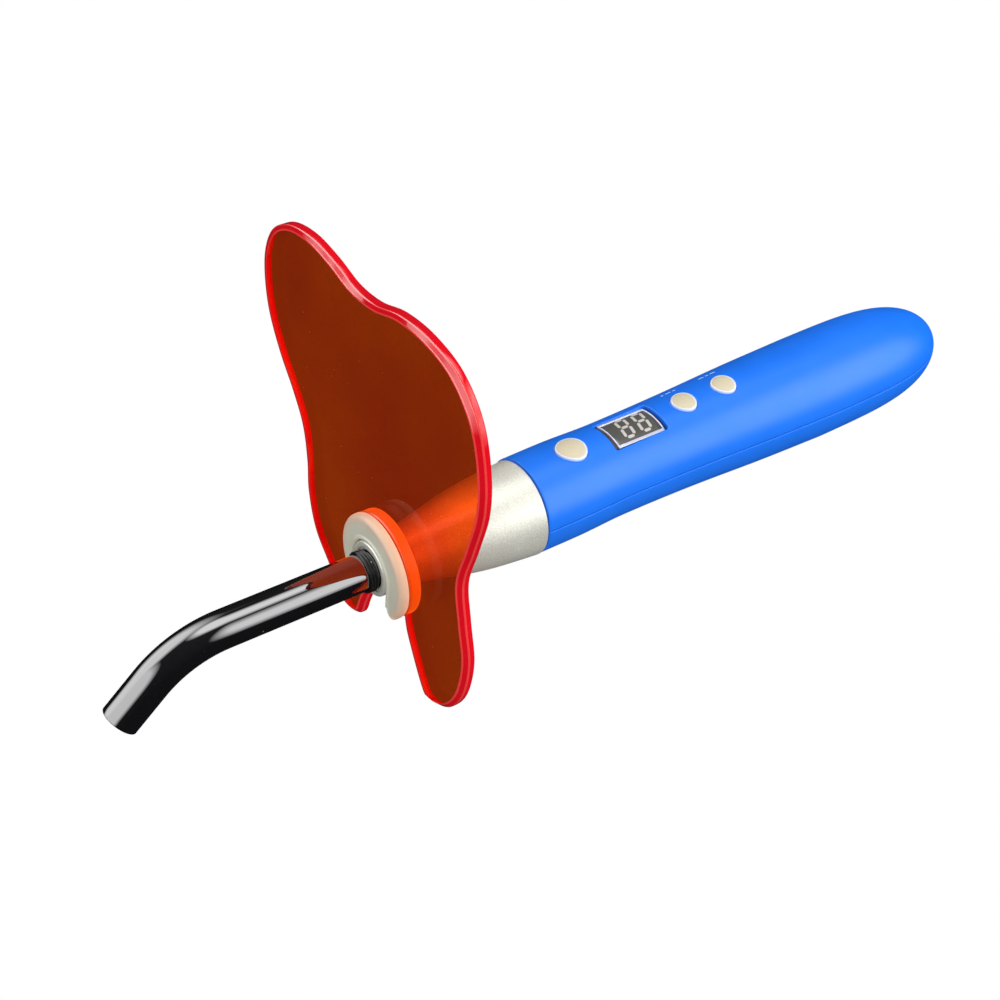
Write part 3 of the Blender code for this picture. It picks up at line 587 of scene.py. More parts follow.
finish("gold_plate", (0.92, 0.66, 0.26), 0.18, 1.0, bump=0.15)
finish("red_wire", (0.62, 0.015, 0.015), 0.35, grain=2500, mottle=0.08, bump=0.10)
finish("black_wire", (0.02, 0.02, 0.022), 0.35, grain=2500, mottle=0.10, bump=0.10)
finish("print", (0.55, 0.70, 0.95), 0.40, mottle=0.05)

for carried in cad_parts.values():
    for place in carried.material_slots:
        place.material = LOOKS[place.material.name.split(".")[0]]


# ---- Handle shells

def shell_point(side, x, phi, depth=0.0):
    """On the handle, phi round from its top (side 1) or bottom (side -1), at a depth under the skin."""
    nx, nr = handle_slope(x)
    radius = handle_radius(x) - depth * nr
    return x - depth * nx, radius * math.sin(phi), handle_rise(x) + side * radius * math.cos(phi)


def egg(half_length, half_width, sides=72):
    """Egg outline, its narrow end towards -X."""
    turns = [math.tau * i / sides for i in range(sides)]
    return [(half_length * math.cos(t), half_width * math.sin(t) * (1 + BUTTON_SKEW * math.cos(t)))
            for t in turns]


def rounded_rectangle(half_x, half_y, radius, spacing=0.5):
    corners = []
    for sx, sy, start in ((1, 1, 0), (-1, 1, 90), (-1, -1, 180), (1, -1, 270)):
        centre = (sx * (half_x - radius), sy * (half_y - radius))
        corners += [(centre[0] + a, centre[1] + b) for a, b in arc(radius, start, start + 90, 5)]
    loop = []
    for a, b in zip(corners, corners[1:] + corners[:1]):
        count = max(int(math.dist(a, b) / spacing), 1)
        loop += [(a[0] + (b[0] - a[0]) * k / count, a[1] + (b[1] - a[1]) * k / count) for k in range(count)]
    return loop


def moved(loop, x, y=0.0):
    return [(x + a, y + b) for a, b in loop]


def shell(side, holes, lip):
    """Closed half of the handle. Each hole is a plan outline; lip is the rounding of its edge."""
    limit = SEAM_ABOVE_CENTRE * side + SEAM_GAP / 2

    def seam_angle(x):
        return math.acos(max(min(limit / handle_radius(x), 1), -1))

    meeting = TAIL_START + (TAIL_END - TAIL_START) * (
        1 - (limit / HANDLE_STATIONS[-1][1]) ** 2) ** (1 / TAIL_POWER)
    rows = [(HANDLE_FRONT + a, d) for a, d in rounding(SEAM_ROUND)]
    body_steps = int((TAIL_START - HANDLE_FRONT) / SHELL_SPACING)
    rows += [(HANDLE_FRONT + (TAIL_START - HANDLE_FRONT) * i / body_steps, 0) for i in range(1, body_steps)]
    tail_steps = 64
    share = math.asin((meeting - TAIL_START) / (TAIL_END - TAIL_START))
    rows += [(TAIL_START + (TAIL_END - TAIL_START) * math.sin(share * i / tail_steps), 0)
             for i in range(tail_steps)]
    edge = rounding(SEAM_ROUND)
    columns = [(-1, a, d) for a, d in edge]
    columns += [(2 * i / SHELL_COLUMNS - 1, None, 0) for i in range(1, SHELL_COLUMNS)]
    columns += [(1, a, d) for a, d in reversed(edge)]

    def column_angle(x, column):
        across, distance, _ = column
        seam = seam_angle(x)
        keep = min(SEAM_ROUND / handle_radius(x), 0.3 * seam)
        if distance is None:
            return across * (seam - keep)
        return across * (seam - keep * distance / SEAM_ROUND)

    verts, faces = [], []

    def add(x, phi, depth):
        verts.append(shell_point(side, x, phi, depth))
        return len(verts) - 1

    angles = [[column_angle(x, c) for c in columns] for x, _ in rows]
    outer = [[add(x, phi, max(d, column[2])) for phi, column in zip(line, columns)]
             for (x, d), line in zip(rows, angles)]
    inner = [[add(x, phi, SHELL_WALL) for phi in line] for (x, _), line in zip(rows, angles)]
    last_row, last_column = len(rows) - 1, len(columns) - 1
    scale = HANDLE_STATIONS[0][1]
    taken = set()
    for hole in holes:
        wide = inset(hole, -lip - HOLE_MARGIN)
        xs = [p[0] for p in wide]
        i0 = max(k for k, (x, _) in enumerate(rows) if x < min(xs))
        i1 = min(k for k, (x, _) in enumerate(rows) if x > max(xs))
        turns = [math.asin(y / handle_radius(x)) for x, y in wide]
        middle = angles[(i0 + i1) // 2]
        j0 = max(k for k, phi in enumerate(middle) if phi < min(turns))
        j1 = min(k for k, phi in enumerate(middle) if phi > max(turns))
        taken |= {(i, j) for i in range(i0, i1) for j in range(j0, j1)}
        frame_cells = ([(i, j0) for i in range(i0, i1)] + [(i1, j) for j in range(j0, j1)]
                       + [(i, j1) for i in range(i1, i0, -1)] + [(i0, j) for j in range(j1, j0, -1)])
        border = [(rows[i][0], angles[i][j] * scale) for i, j in frame_cells]
        core = {(rows[i][0], angles[i][j] * scale): (i, j)
                for i in range(i0 + 1, i1) for j in range(j0 + 1, j1)}
        rings = []
        for distance, depth in reversed(rounding(lip)):
            loop = inset(hole, -distance)
            rings.append(([(x, math.asin(y / handle_radius(x))) for x, y in loop], depth))
        rings += [(rings[-1][0], SHELL_WALL), (rings[0][0], SHELL_WALL)]
        made = [[add(x, phi, depth) for x, phi in ring] for ring, depth in rings]
        flat_hole = [(x, phi * scale) for x, phi in rings[0][0]]
        added, triangles = fill(border, [flat_hole], None, core)
        added_cells = [core[p] for p in added]
        for skin, ring in ((outer, made[0]), (inner, made[-1])):
            index = [skin[i][j] for i, j in frame_cells] + ring + [skin[i][j] for i, j in added_cells]
            faces += [[index[k] for k in t] for t in triangles]
        for near, far in zip(made, made[1:]):
            count = len(near)
            faces += [[near[k], near[(k + 1) % count], far[(k + 1) % count], far[k]] for k in range(count)]
    for skin in (outer, inner):
        faces += [[skin[i][j], skin[i + 1][j], skin[i + 1][j + 1], skin[i][j + 1]]
                  for i in range(last_row) for j in range(last_column) if (i, j) not in taken]
    for j in (0, last_column):
        faces += [[outer[i][j], outer[i + 1][j], inner[i + 1][j], inner[i][j]] for i in range(last_row)]
    faces += [[outer[0][j], outer[0][j + 1], inner[0][j + 1], inner[0][j]] for j in range(last_column)]
    tips = [add(meeting, 0 if side > 0 else math.pi, depth) for depth in (0, SHELL_WALL)]
    poles = tips
    if side < 0:  # the lower half covers the tail's end, so its skin runs on below the seam's tip
        poles = [len(verts), len(verts) + 1]
        verts += [(TAIL_END - depth, 0, handle_rise(TAIL_END)) for depth in (0, SHELL_WALL)]
        faces += [[skin[-1][j], tip, pole] for skin, tip, pole in zip((outer, inner), tips, poles)
                  for j in (0, last_column)]
    for skin, pole in ((outer, poles[0]), (inner, poles[1])):
        faces += [[skin[-1][j], pole, skin[-1][j + 1]] for j in range(last_column)]
    for j in (0, last_column):
        faces.append([outer[-1][j], tips[0], tips[1], inner[-1][j]])
    return verts, faces


def button_hole(name):
    x, length, width = BUTTONS[name]
    return moved(egg(length + BUTTON_GAP, width + BUTTON_GAP), x)


opening = moved(rounded_rectangle(*DISPLAY_OPENING, 0.5), DISPLAY_X)
upper = shell(1, [button_hole(name) for name in BUTTONS] + [opening], 0.3)
piece("handle_upper", upper, "root", "blue_plastic", ["upper_shell"])
screw_hole = arc(SCREW_RADIUS + 0.25, 0, 360, 48)[:-1]
contact_hole = arc(CONTACT_RADIUS + 0.25, 0, 360, 40)[:-1]
lower_holes = [moved(screw_hole, x) for x in SCREW_X]
lower_holes += [moved(contact_hole, CONTACT_X, y) for y in (-CONTACT_Y, CONTACT_Y)]
piece("handle_lower", shell(-1, lower_holes, 0.2), "root", "blue_plastic", ["lower_shell"])


# ---- Head and neck

HEAD_BORE = 8.6
HEAD_BORE_START = -87.7
SOCKET_ROOM = 7.6
SOCKET_ROOM_START = -97.1
NECK_ROOM = 5.8
SPIGOT_END = -63.5
SPIGOT_RADIUS = 9.7

skin = smooth_line(HEAD_OUTSIDE, 5)
outline = skin + [(HEAD_OUTSIDE[-1][0], SPIGOT_RADIUS), (SPIGOT_END, SPIGOT_RADIUS), (SPIGOT_END, HEAD_BORE),
                  (HEAD_BORE_START, HEAD_BORE), (HEAD_BORE_START, SOCKET_ROOM),
                  (SOCKET_ROOM_START, SOCKET_ROOM), (SOCKET_ROOM_START, NECK_ROOM),
                  (HEAD_OUTSIDE[0][0], NECK_ROOM)]
count = len(skin)
corners = {0: 0.7, count - 1: 0.25, count: 0.2, count + 1: 0.4}
piece("head_body", revolve(rounded(outline, corners, 5), 128), "root", "satin_aluminium",
      ["head_housing"])

flange_back = NECK_FRONT + 2.3
FACE_STEP = 0.3
neck = [(NECK_FRONT + FACE_STEP, SOCKET_BORE), (NECK_FRONT + FACE_STEP, 5.4), (NECK_FRONT, 5.5),
        (NECK_FRONT, NECK_RADIUS), (flange_back, NECK_RADIUS), (flange_back, STEM_RADIUS),
        (SOCKET_ROOM_START, STEM_RADIUS), (SOCKET_ROOM_START, SOCKET_BORE)]
neck_rounds = {0: 0.1, 1: 0.06, 2: 0.12, 3: 0.9, 4: 0.2, 6: 0.2}
piece("neck_body", revolve(rounded(neck, neck_rounds, 6), 112), "root", "steel", ["neck_sleeve"])

collar_ends = (flange_back + 0.3, PLATE_ENDS[0] + 2.5)
collar_radius = NECK_RADIUS - 0.05
collar = [(collar_ends[0], PLATE_SLOT), (collar_ends[0], collar_radius), (RING_ENDS[1], collar_radius),
          (RING_ENDS[1], PLATE_SLOT)]
piece("collar_body", revolve(rounded(collar, 0.2), 96), "shield_collar", "steel", ["shield_collar"])


# ---- Light guide

def guide_point(along):
    """Centre and direction of the guide, as (x, z) pairs, at a length from its inner end."""
    straight = GUIDE_INNER_END - BEND_START
    bend = BEND_RADIUS * BEND_ANGLE
    if along <= straight:
        return (GUIDE_INNER_END - along, 0.0), (-1.0, 0.0)
    turn = min((along - straight) / BEND_RADIUS, BEND_ANGLE)
    direction = (-math.cos(turn), -math.sin(turn))
    centre = (BEND_START - BEND_RADIUS * math.sin(turn), -BEND_RADIUS * (1 - math.cos(turn)))
    rest = max(along - straight - bend, 0.0)
    return (centre[0] + direction[0] * rest, centre[1] + direction[1] * rest), direction


GUIDE_LENGTH = GUIDE_INNER_END - BEND_START + BEND_RADIUS * BEND_ANGLE + GUIDE_TIP_LENGTH


def swept(profile, sides=72):
    """A profile of (length along the guide, radius) turned about the guide's bent centre line."""
    verts, faces = revolve(profile, sides)
    bent = []
    for along, y, z in verts:
        (cx, cz), (dx, dz) = guide_point(along)
        bent.append((cx + z * dz, y, cz - z * dx))
    return bent, faces


def along_steps(end, start=0.0, spacing=1.2):
    count = int(abs(end - start) / spacing)
    return [start + (end - start) * i / count for i in range(count + 1)]


CLEARANCE = 0.05  # between the glass and what it holds or sits in
TIP_ROUND = 0.18
outside = [(s, GUIDE_RADIUS) for s in along_steps(GUIDE_LENGTH - TIP_ROUND)]
rim = [(GUIDE_LENGTH - d, GUIDE_RADIUS - a) for a, d in rounding(TIP_ROUND)]
bore = [(s, CORE_RADIUS + CLEARANCE) for s in along_steps(0.0, GUIDE_LENGTH)]
piece("guide_rod", swept(outside + rim[1:] + bore), "light_guide", "black_glass", ["guide_sheath"])
CORE_ROUND = 0.12
core_side = [(s, CORE_RADIUS) for s in along_steps(GUIDE_LENGTH - CORE_ROUND)]
core_face = [(GUIDE_LENGTH - d, CORE_RADIUS - a) for a, d in rounding(CORE_ROUND)][1:]
core_face += [(GUIDE_LENGTH, CORE_RADIUS * k / 8) for k in range(7, -1, -1)]
core_back = [(0, CORE_RADIUS * k / 4) for k in range(4)]
piece("guide_fibres", swept(core_back + core_side + core_face), "light_guide", "fibre", ["guide_core"])

FERRULE_RADIUS, RIB_SWELL = 4.85, 0.3
RIB_COUNT, RIB_STEPS = 3, 8
low, high = FERRULE_ENDS
pitch = (high - low) / RIB_COUNT
ribs = []
for step in range(RIB_COUNT * RIB_STEPS):
    swell = math.sin(math.pi * (step % RIB_STEPS) / RIB_STEPS) ** 0.5
    ribs.append((low + pitch * step / RIB_STEPS, FERRULE_RADIUS + RIB_SWELL * swell))
ribs += [(high, FERRULE_RADIUS), (high, GUIDE_RADIUS + CLEARANCE), (low, GUIDE_RADIUS + CLEARANCE)]
piece("guide_collar", revolve(ribs, 96), "light_guide", "black_rubber", ["guide_ferrule"])


# ---- Shield

def slotted_disc(radius, slot, corner, bore_steps=48):
    """C-shaped loop about the axis, open towards -Z, with rounded ends; True marks the slot's side."""
    centre_z = -math.sqrt((radius - corner) ** 2 - (slot + corner) ** 2)
    tangent = math.degrees(math.atan2(centre_z, slot + corner))
    rim = arc(radius, tangent, 180 - tangent, 130)
    left = [(-slot - corner + a, centre_z + b) for a, b in arc(corner, 180 - tangent, 360, 12)][1:]
    wall = [centre_z * (1 - i / 8) for i in range(1, 8)]
    bore = arc(slot, 180, 0, bore_steps)
    right = [(slot + corner + a, centre_z + b) for a, b in arc(corner, 180, 360 + tangent, 12)][:-1]
    loop = ([(p, False) for p in rim] + [(p, None) for p in left] + [((-slot, z), True) for z in wall]
            + [(p, True) for p in bore] + [((slot, z), True) for z in reversed(wall)]
            + [(p, None) for p in right])
    return [p for p, _ in loop], [side for _, side in loop]


def facing_nose(front):
    """Surface in the YZ plane whose depth runs back from a front."""
    return lambda u, v, depth: (front + depth, u, v)


LIP_HEIGHT = 0.4
FACE_ROUND = 1.35
LIP_PROFILE = [  # (inset, depth) over the lip round the clip's bore and down to its face
    (0.0, 0.35), (0.06, 0.15), (0.16, 0.04), (0.3, 0.0), (0.6, 0.0), (0.75, 0.04), (0.86, 0.15),
    (0.94, 0.3), (1.05, 0.38), (1.2, LIP_HEIGHT), (FACE_ROUND, LIP_HEIGHT),
]
CLIP_CORNER, RING_CORNER = 1.9, 1.6  # radii at the ends of the two C shapes
RING_ROUND = 0.45
loop, sides = slotted_disc(CLIP_RADIUS, CLIP_SLOT, CLIP_CORNER)
clip_depth = CLIP_ENDS[1] - CLIP_ENDS[0]
clip_rows = [(0.35, clip_depth), (0.1, clip_depth - 0.1), (0.0, clip_depth - 0.35)]
for distance, lip_depth in LIP_PROFILE:
    fall = FACE_ROUND - math.sqrt(max(FACE_ROUND**2 - (FACE_ROUND - distance) ** 2, 0))
    outer_depth = LIP_HEIGHT + fall
    levels = {True: lip_depth, False: outer_depth, None: (lip_depth + outer_depth) / 2}
    clip_rows.append((distance, [levels[side] for side in sides]))
clip = relief(loop, clip_rows, facing_nose(CLIP_ENDS[0]))
piece("clip_body", clip, "shield", "white_plastic", ["shield_clip"], caps=clip[2])


def disc_body(name, loop, ends, radius, slot, node_name, front=None, finishes=(), paint=None):
    """A flat body across the neck, its edges rounded on both faces. front replaces the front rounding."""
    thickness = ends[1] - ends[0]
    rows = [(d, thickness - a) for d, a in reversed(rounding(radius))] + (front or rounding(radius))
    body = relief(loop, rows, facing_nose(ends[0]))
    piece(name, body, "shield", slot, [node_name], finishes, body[2], paint)


ring = slotted_disc(RING_RADIUS, CLIP_SLOT, RING_CORNER)[0]
disc_body("ring_body", ring, RING_ENDS, RING_ROUND, "orange_acrylic", "shield_ring")

PLATE_ROUND = 0.4
BEVEL_DROP = [(0.0, 1.45), (0.03, 1.3), (0.12, 1.14), (0.24, 1.02)]
PLATE_BEVEL = BEVEL_DROP + [(depth, distance) for distance, depth in reversed(BEVEL_DROP)]
BEVEL_SHALLOW = 0.2  # share of the bevel's depth left where it faces +Y
outer_line = smooth_line(PLATE_OUTLINE, 8)
panel = outer_line + list(reversed(arc(PLATE_SLOT, 0, 180, 40)))


def bevel_share(i):
    """Full depth of the bevel where the outline faces -Y, less towards +Y."""
    (ay, az), (by, bz) = panel[i - 1], panel[(i + 1) % len(panel)]
    facing = (bz - az) / math.hypot(by - ay, bz - az)
    return min(max(0.6 - 0.9 * facing, BEVEL_SHALLOW), 1.0)


shares = [bevel_share(i) for i in range(len(panel))]
plate_front = [(distance, [depth * share for share in shares]) for distance, depth in PLATE_BEVEL]
BEVEL_START = 4  # strips behind the bevel: the back rounding and the side wall
OUTER_TURN = range(BEVEL_START + 1, BEVEL_START + 4)
INNER_TURN = range(BEVEL_START + 5, BEVEL_START + 8)


HOLLOW_Y, HOLLOW_Z = 34, (-22, 34)  # the outer line has a painted glow beyond this y, between these heights
PRONG_Z, PRONG_Y, FAR_PRONG_Y = -14, (-16, -5), 19  # and below this height, at these prongs


def plate_finish(centre, number):
    """0 on the plate's faces, 1 on its rim, 2 on the lines where its bevel turns, painted as highlight
    lines.
    3 is a painted glow: the outer line along the +Y side's hollow and on the lower prongs' edges facing +Y."""
    strip = number // len(panel)
    if strip > INNER_TURN[-1]:
        return 0
    if strip in OUTER_TURN:
        hollow = centre.y > HOLLOW_Y and HOLLOW_Z[0] < centre.z < HOLLOW_Z[1]
        prongs = centre.z < PRONG_Z and (PRONG_Y[0] < centre.y < PRONG_Y[1] or centre.y > FAR_PRONG_Y)
        return 3 if hollow or prongs else 2
    return 2 if strip in INNER_TURN else 1


plate_finishes = ["shield_acrylic", "shield_rim", "shield_edge", "shield_glow"]
disc_body("shield_panel", panel, PLATE_ENDS, PLATE_ROUND, "shield_acrylic", "shield_plate", plate_front,
          plate_finishes, plate_finish)


# ---- Buttons

def on_handle(x, y, depth):
    """A point on or under the handle's top, in plan."""
    radius = handle_radius(x)
    return x, y, handle_rise(x) + math.sqrt(radius**2 - y**2) - depth


BUTTON_PROUD = 0.3  # a little less than the frame's blocks
RIM_WIDTH = 0.38
BUTTON_ROUND = 0.28
CROWN = 0.25
CAP_DEPTH = 2.9
FLANGE_DEPTH = 3.6
FLANGE_OVERHANG = 0.9
STEM_BOTTOM = 8.9


def button(name):
    x, length, width = BUTTONS[name]

    def domed(u, v, depth):
        away = min(math.hypot(u / length, v / width), 1)
        return on_handle(x + u, v, depth - BUTTON_PROUD - CROWN * (1 - away**2))

    groove = [(RIM_WIDTH - 0.1, 0.0), (RIM_WIDTH, 0.06), (RIM_WIDTH + 0.08, 0.08), (RIM_WIDTH + 0.2, 0.0)]
    rows = [(0.0, CAP_DEPTH)] + rounding(BUTTON_ROUND, 5) + groove + [(RIM_WIDTH + 0.6, 0.0)]
    cap = relief(egg(length, width), rows, domed, 0.5)
    top = handle_rise(x) + handle_radius(x)
    flange = relief(egg(length + FLANGE_OVERHANG, width + FLANGE_OVERHANG),
                    [(0.0, FLANGE_DEPTH), (0.0, CAP_DEPTH)], lambda u, v, depth: (x + u, v, top - depth))
    stem = revolve([(top - CAP_DEPTH - 0.3, 0), (top - CAP_DEPTH - 0.3, 1.5), (STEM_BOTTOM + 0.2, 1.5),
                    (STEM_BOTTOM, 1.3), (STEM_BOTTOM, 0)], 32)
    body = joined(cap, flange, stand(stem, x))
    centre_line = egg(length - RIM_WIDTH - 0.04, width - RIM_WIDTH - 0.04)

    def paint(centre, _):
        return 0 if inside((centre.x - x, centre.y), centre_line) and centre.z > top - 2 else 1

    piece(name.replace("button", "cap"), body, name, "cream_rubber", [name],
          ["cream_rubber", "button_rim"], paint=paint)


for button_name in BUTTONS:
    button(button_name)


# ---- Display

def on_display(top):
    """Surface round the display's axis: u along the handle, v round it, under a top radius."""
    def place_point(u, v, depth):
        angle = v / DISPLAY_TURN_RADIUS
        radius = top - depth
        return DISPLAY_X + u, radius * math.sin(angle), DISPLAY_RISE + radius * math.cos(angle)
    return place_point


SCREEN_ENDS = (-6.6, 6.35)
TRIM_ENDS = (-6.6, 6.95)  # inside the bright trim, which stands clear of the screen towards the tail
PANEL_HALF = 4.15
TRIM_END = 0.32
TRIM_SIDE = 0.75
GASKET_TOP, TRIM_TOP, SCREEN_TOP, DIGIT_TOP = 11.35, 11.72, 11.52, 11.56  # radii from the display's axis


def panel_outline(ends, grow_end, grow_side, corner, spacing):
    """Rounded rectangle between two ends of the display, grown past them and past its sides."""
    half_length = (ends[1] - ends[0]) / 2 + grow_end
    return moved(rounded_rectangle(half_length, PANEL_HALF + grow_side, corner, spacing), sum(ends) / 2)


gasket = rounded_rectangle(DISPLAY_OPENING[0] - 0.12, DISPLAY_OPENING[1] - 0.12, 0.45)
body = relief(gasket, [(0.0, 1.2)] + rounding(0.15), on_display(GASKET_TOP), 0.7)
piece("display_gasket", body, "root", "bright_trim", ["display_frame"], ["black_plastic"])

outer = panel_outline(TRIM_ENDS, TRIM_END, TRIM_SIDE, 0.25, 0.4)
hole = panel_outline(TRIM_ENDS, 0.0, 0.0, 0.15, 0.4)
body = relief(outer, [(0.0, 0.8)] + rounding(0.12), on_display(TRIM_TOP), None, [hole])
piece("display_trim", body, "root", "bright_trim", ["display_frame"])

screen = panel_outline(SCREEN_ENDS, -0.03, -0.03, 0.15, 0.5)
body = relief(screen, [(0.0, 0.6)] + rounding(0.1), on_display(SCREEN_TOP), 0.7)
piece("display_glass", body, "root", "dark_window", ["display_window"])

DIGIT_HEIGHT = 7.4
DIGIT_WIDTH = 3.5
DIGIT_CENTRES = (-1.55, 3.55)
DIGIT_ACROSS = 0.3
DIGIT_SLANT = 0.13
SEGMENT_WIDTH = 0.86
SEGMENT_GAP = 0.26


def segment(start, end, trim):
    """Hexagonal bar between two points, cut back from its ends."""
    a, b = Vector(start), Vector(end)
    along = (b - a).normalized()
    side = Vector((-along.y, along.x)) * SEGMENT_WIDTH / 2
    a, b = a + along * trim, b - along * trim
    shoulder = along * SEGMENT_WIDTH * 0.42
    return [tuple(p) for p in (a, a + shoulder - side, b - shoulder - side, b, b - shoulder + side,
                               a + shoulder + side)]


def digit(centre):
    half_w = DIGIT_WIDTH / 2 - SEGMENT_WIDTH / 2
    half_h = DIGIT_HEIGHT / 2 - SEGMENT_WIDTH / 2
    bars = [((-half_w, y), (half_w, y)) for y in (-half_h, 0, half_h)]
    bars += [((x, y), (x, y + half_h)) for x in (-half_w, half_w) for y in (-half_h, 0)]
    bodies = []
    for start, end in bars:
        loop = segment(start, end, SEGMENT_GAP)
        loop = [(centre + u + DIGIT_SLANT * v, DIGIT_ACROSS + v) for u, v in loop]
        rows = [(0.0, 0.06), (0.0, 0.02), (0.02, 0.0)]
        bodies.append(relief(loop, rows, on_display(DIGIT_TOP), 0.4))
    return joined(*bodies)


digits = joined(*[digit(centre) for centre in DIGIT_CENTRES])
piece("display_digits", digits, "root", "dark_window", finishes=["display_segment"])


# ---- Small marks beside the two small buttons

def on_skin(height):
    """Surface round the handle: u along it, v round it from the top, over the skin by a height."""
    def place_point(u, v, depth):
        return shell_point(1, u, v / HANDLE_STATIONS[0][1], depth - height)
    return place_point


MARK_ROUND_FROM_TOP = 5.9
MARK_HEIGHT = 0.03
marks = []
for x, bars in ((BUTTONS["mode_button"][0], (0.9, 1.7, 0.9)), (BUTTONS["time_button"][0], (1.7, 0.9, 1.7))):
    for i, length in enumerate(bars):
        loop = moved(rounded_rectangle(length / 2, 0.2, 0.15), x + (i - 1) * 1.9, MARK_ROUND_FROM_TOP)
        rows = [(0.0, 0.1), (0.0, 0.01), (0.02, 0.0)]
        marks.append(relief(loop, rows, on_skin(MARK_HEIGHT), 0.4))
piece("button_marks", joined(*marks), "root", "white_plastic", finishes=["print"])


# ---- Screws and charge contacts under the handle

SCREW_SUNK = 0.12


def screw(number, x):
    face = handle_rise(x) - handle_radius(x) + SCREW_SUNK
    arm, half = 1.15, 0.28
    cross = [(arm, -half), (arm, half), (half, half), (half, arm), (-half, arm), (-half, half), (-arm, half),
             (-arm, -half), (-half, -half), (-half, -arm), (half, -arm), (half, -half)]
    rim = arc(SCREW_RADIUS - 0.05, 0, 360, 64)[:-1]
    rows = [(0.0, 0.9)] + rounding(0.3)
    head = relief(rim, rows, lambda u, v, depth: (x + u, v, face + depth), None, [cross])
    shank = revolve([(face + 0.7, 0), (face + 0.7, 1.6), (face + 1.0, 1.6), (face + 1.0, 1.0), (-3.0, 1.0),
                     (-3.0, 0)], 40)
    piece(f"screw_{number}", joined(head, stand(shank, x)), "root", "steel", [f"frame_screw_{number}"],
          caps=head[2])


for number, screw_x in enumerate(SCREW_X, 1):
    screw(number, screw_x)

CONTACT_TIP = -9.4
CONTACT_TOP = -5.2
CONTACT_PROFILE = [  # (height over the tip, radius), with a groove round the pin
    (0, 0), (0, 1.0), (0.12, 1.3), (0.4, CONTACT_RADIUS), (1.6, CONTACT_RADIUS), (1.7, 1.3), (2.0, 1.3),
    (2.1, CONTACT_RADIUS),
]
for contact, y in (("a", CONTACT_Y), ("b", -CONTACT_Y)):
    pin = [(CONTACT_TIP + up, radius) for up, radius in CONTACT_PROFILE]
    pin += [(CONTACT_TOP, CONTACT_RADIUS), (CONTACT_TOP, 0)]
    body = stand(revolve(pin, 48), CONTACT_X, y)
    piece(f"contact_pin_{contact}", body, "root", "gold_plate", [f"charge_contact_{contact}"])


# ---- Floor, light and camera

FLOOR_BELOW = 0.12  # metres under the object
FLOOR_REACH = 3.0
scene = bpy.context.scene
floor_z = CAD_BOX[0].z - FLOOR_BELOW
floor_mesh = bpy.data.meshes.new("floor")
floor_mesh.from_pydata([(x * FLOOR_REACH, y * FLOOR_REACH, floor_z)
                        for x, y in ((-1, -1), (1, -1), (1, 1), (-1, 1))], [], [(0, 1, 2, 3)])
floor = bpy.data.objects.new("floor", floor_mesh)
scene.collection.objects.link(floor)

SEEN = 1.0  # the plain backdrop the camera sees
BEHIND_SHIELD = 0.215  # its level through clear pieces
BEHIND_MIRRORED = 1.5  # and through clear pieces that show in a reflection
GLOSS_LOW, GLOSS_HIGH = 0.01, 0.04  # its level in reflections, from below to above
FILL_FLOOR = 0.55
FILL_MIDDLE, FILL_SLOPE = 0.62, 0.42
FILL_TOWARDS = (-0.45, -0.25, 0.80)
SOFTBOXES = [  # centre and half widths of a patch of directions, level
    ((0.14, 0.05, 0.95), (0.40, 0.40, 0.42), 4.4),
    ((-0.58, 0.62, 0.58), (0.84, 0.54, 0.78), 3.8),
    ((-0.90, 0.0, 0.35), (0.32, 0.75, 0.50), 3.4),
    ((0.52, -0.66, 0.40), (0.44, 0.56, 0.54), 4.0),
]
SOFTBOX_EDGE = (1.10, 0.60)


def by_ray(tree, fill, gloss):
    """Level of the plain backdrop for each kind of ray."""
    path = node(tree, "LightPath").outputs
    through = path["Is Transmission Ray"]
    mirrored = maths(tree, "GREATER_THAN", path["Glossy Depth"], 0.5)
    both = maths(tree, "MULTIPLY", through, mirrored)
    level = fill
    for share, other in ((through, BEHIND_SHIELD), (mirrored, gloss), (both, BEHIND_MIRRORED),
                         (path["Is Camera Ray"], SEEN)):
        level = node(tree, "Mix", {0: share, 2: level, 3: other}, data_type="FLOAT").outputs[0]
    return level


def softbox(tree, direction, centre, half_widths, level):
    """A soft-edged patch of light in the directions round a centre."""
    away = node(tree, "VectorMath", {0: direction, 1: centre}, operation="SUBTRACT").outputs["Vector"]
    away = node(tree, "VectorMath", {0: away, 1: half_widths}, operation="DIVIDE").outputs["Vector"]
    length = node(tree, "VectorMath", {0: away}, operation="LENGTH").outputs["Value"]
    return ramp(tree, length, *SOFTBOX_EDGE, 0.0, level)


paper = bpy.data.materials.new("paper")
paper.use_nodes = True
tree = paper.node_tree
glow = node(tree, "Emission", {"Color": (1, 1, 1, 1), "Strength": by_ray(tree, FILL_FLOOR, GLOSS_LOW)})
tree.links.new(glow.outputs[0], tree.nodes["Material Output"].inputs["Surface"])
floor_mesh.materials.append(paper)

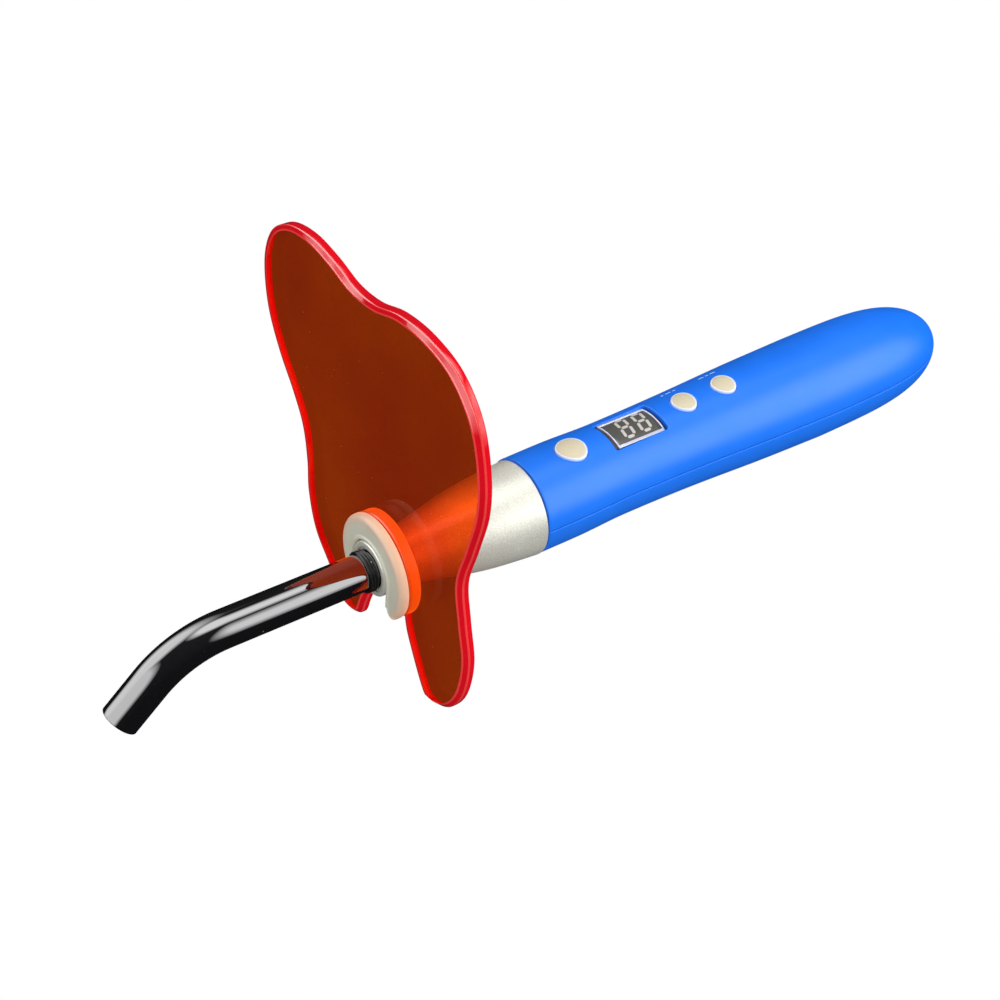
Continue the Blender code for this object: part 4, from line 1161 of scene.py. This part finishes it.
world = bpy.data.worlds.new("studio")
scene.world = world
world.use_nodes = True
tree = world.node_tree
direction = node(tree, "TexCoord").outputs["Generated"]
height = node(tree, "SeparateXYZ", {"Vector": direction}).outputs["Z"]
gloss = ramp(tree, height, -0.2, 0.9, GLOSS_LOW, GLOSS_HIGH)
for centre, half_widths, level in SOFTBOXES:
    patch = softbox(tree, direction, centre, half_widths, level)
    gloss = maths(tree, "MAXIMUM", gloss, patch)
facing = node(tree, "VectorMath", {0: direction, 1: FILL_TOWARDS}, operation="DOT_PRODUCT").outputs["Value"]
fill_level = ramp(tree, facing, -1.0, 1.0, FILL_MIDDLE - FILL_SLOPE, FILL_MIDDLE + FILL_SLOPE)
sky = node(tree, "Background", {"Color": (1, 1, 1, 1), "Strength": by_ray(tree, fill_level, gloss)})
tree.links.new(sky.outputs[0], tree.nodes["World Output"].inputs["Surface"])

AIM = Vector((-60, 0, 10)) * MM
KEY_TOWARDS = Vector((0.58, -0.62, 0.53))
KEY_DISTANCE, KEY_SIZE, KEY_RADIANCE = 800, 760, 2.4
lamp = bpy.data.lights.new("key", "AREA")
lamp.size = KEY_SIZE * MM
lamp.energy = math.pi * lamp.size**2 * KEY_RADIANCE
key = bpy.data.objects.new("key", lamp)
key.location = AIM + KEY_TOWARDS.normalized() * KEY_DISTANCE * MM
key.rotation_mode = "QUATERNION"
key.rotation_quaternion = KEY_TOWARDS.to_track_quat("Z", "Y")
key.visible_camera = key.visible_glossy = key.visible_transmission = False
scene.collection.objects.link(key)

CAMERA_PLACE = Vector((-270.03, -241.53, 279.20)) * MM
CAMERA_AXES = (  # its right, up and back
    (0.81925884, -0.56819873, 0.0772344),
    (0.33157795, 0.57930219, 0.74462409),
    (-0.46783652, -0.58443065, 0.66300061),
)
CAMERA_LENS, CAMERA_SENSOR = 62.773, 36.0
camera_data = bpy.data.cameras.new("camera")
camera_data.lens = CAMERA_LENS
camera_data.sensor_width = CAMERA_SENSOR
camera_data.clip_start = 0.01
camera = bpy.data.objects.new("camera", camera_data)
camera.matrix_world = Matrix.Translation(CAMERA_PLACE) @ Matrix(CAMERA_AXES).transposed().to_4x4()
scene.collection.objects.link(camera)
bpy.context.scene.camera = camera
scene.view_settings.view_transform = "Standard"
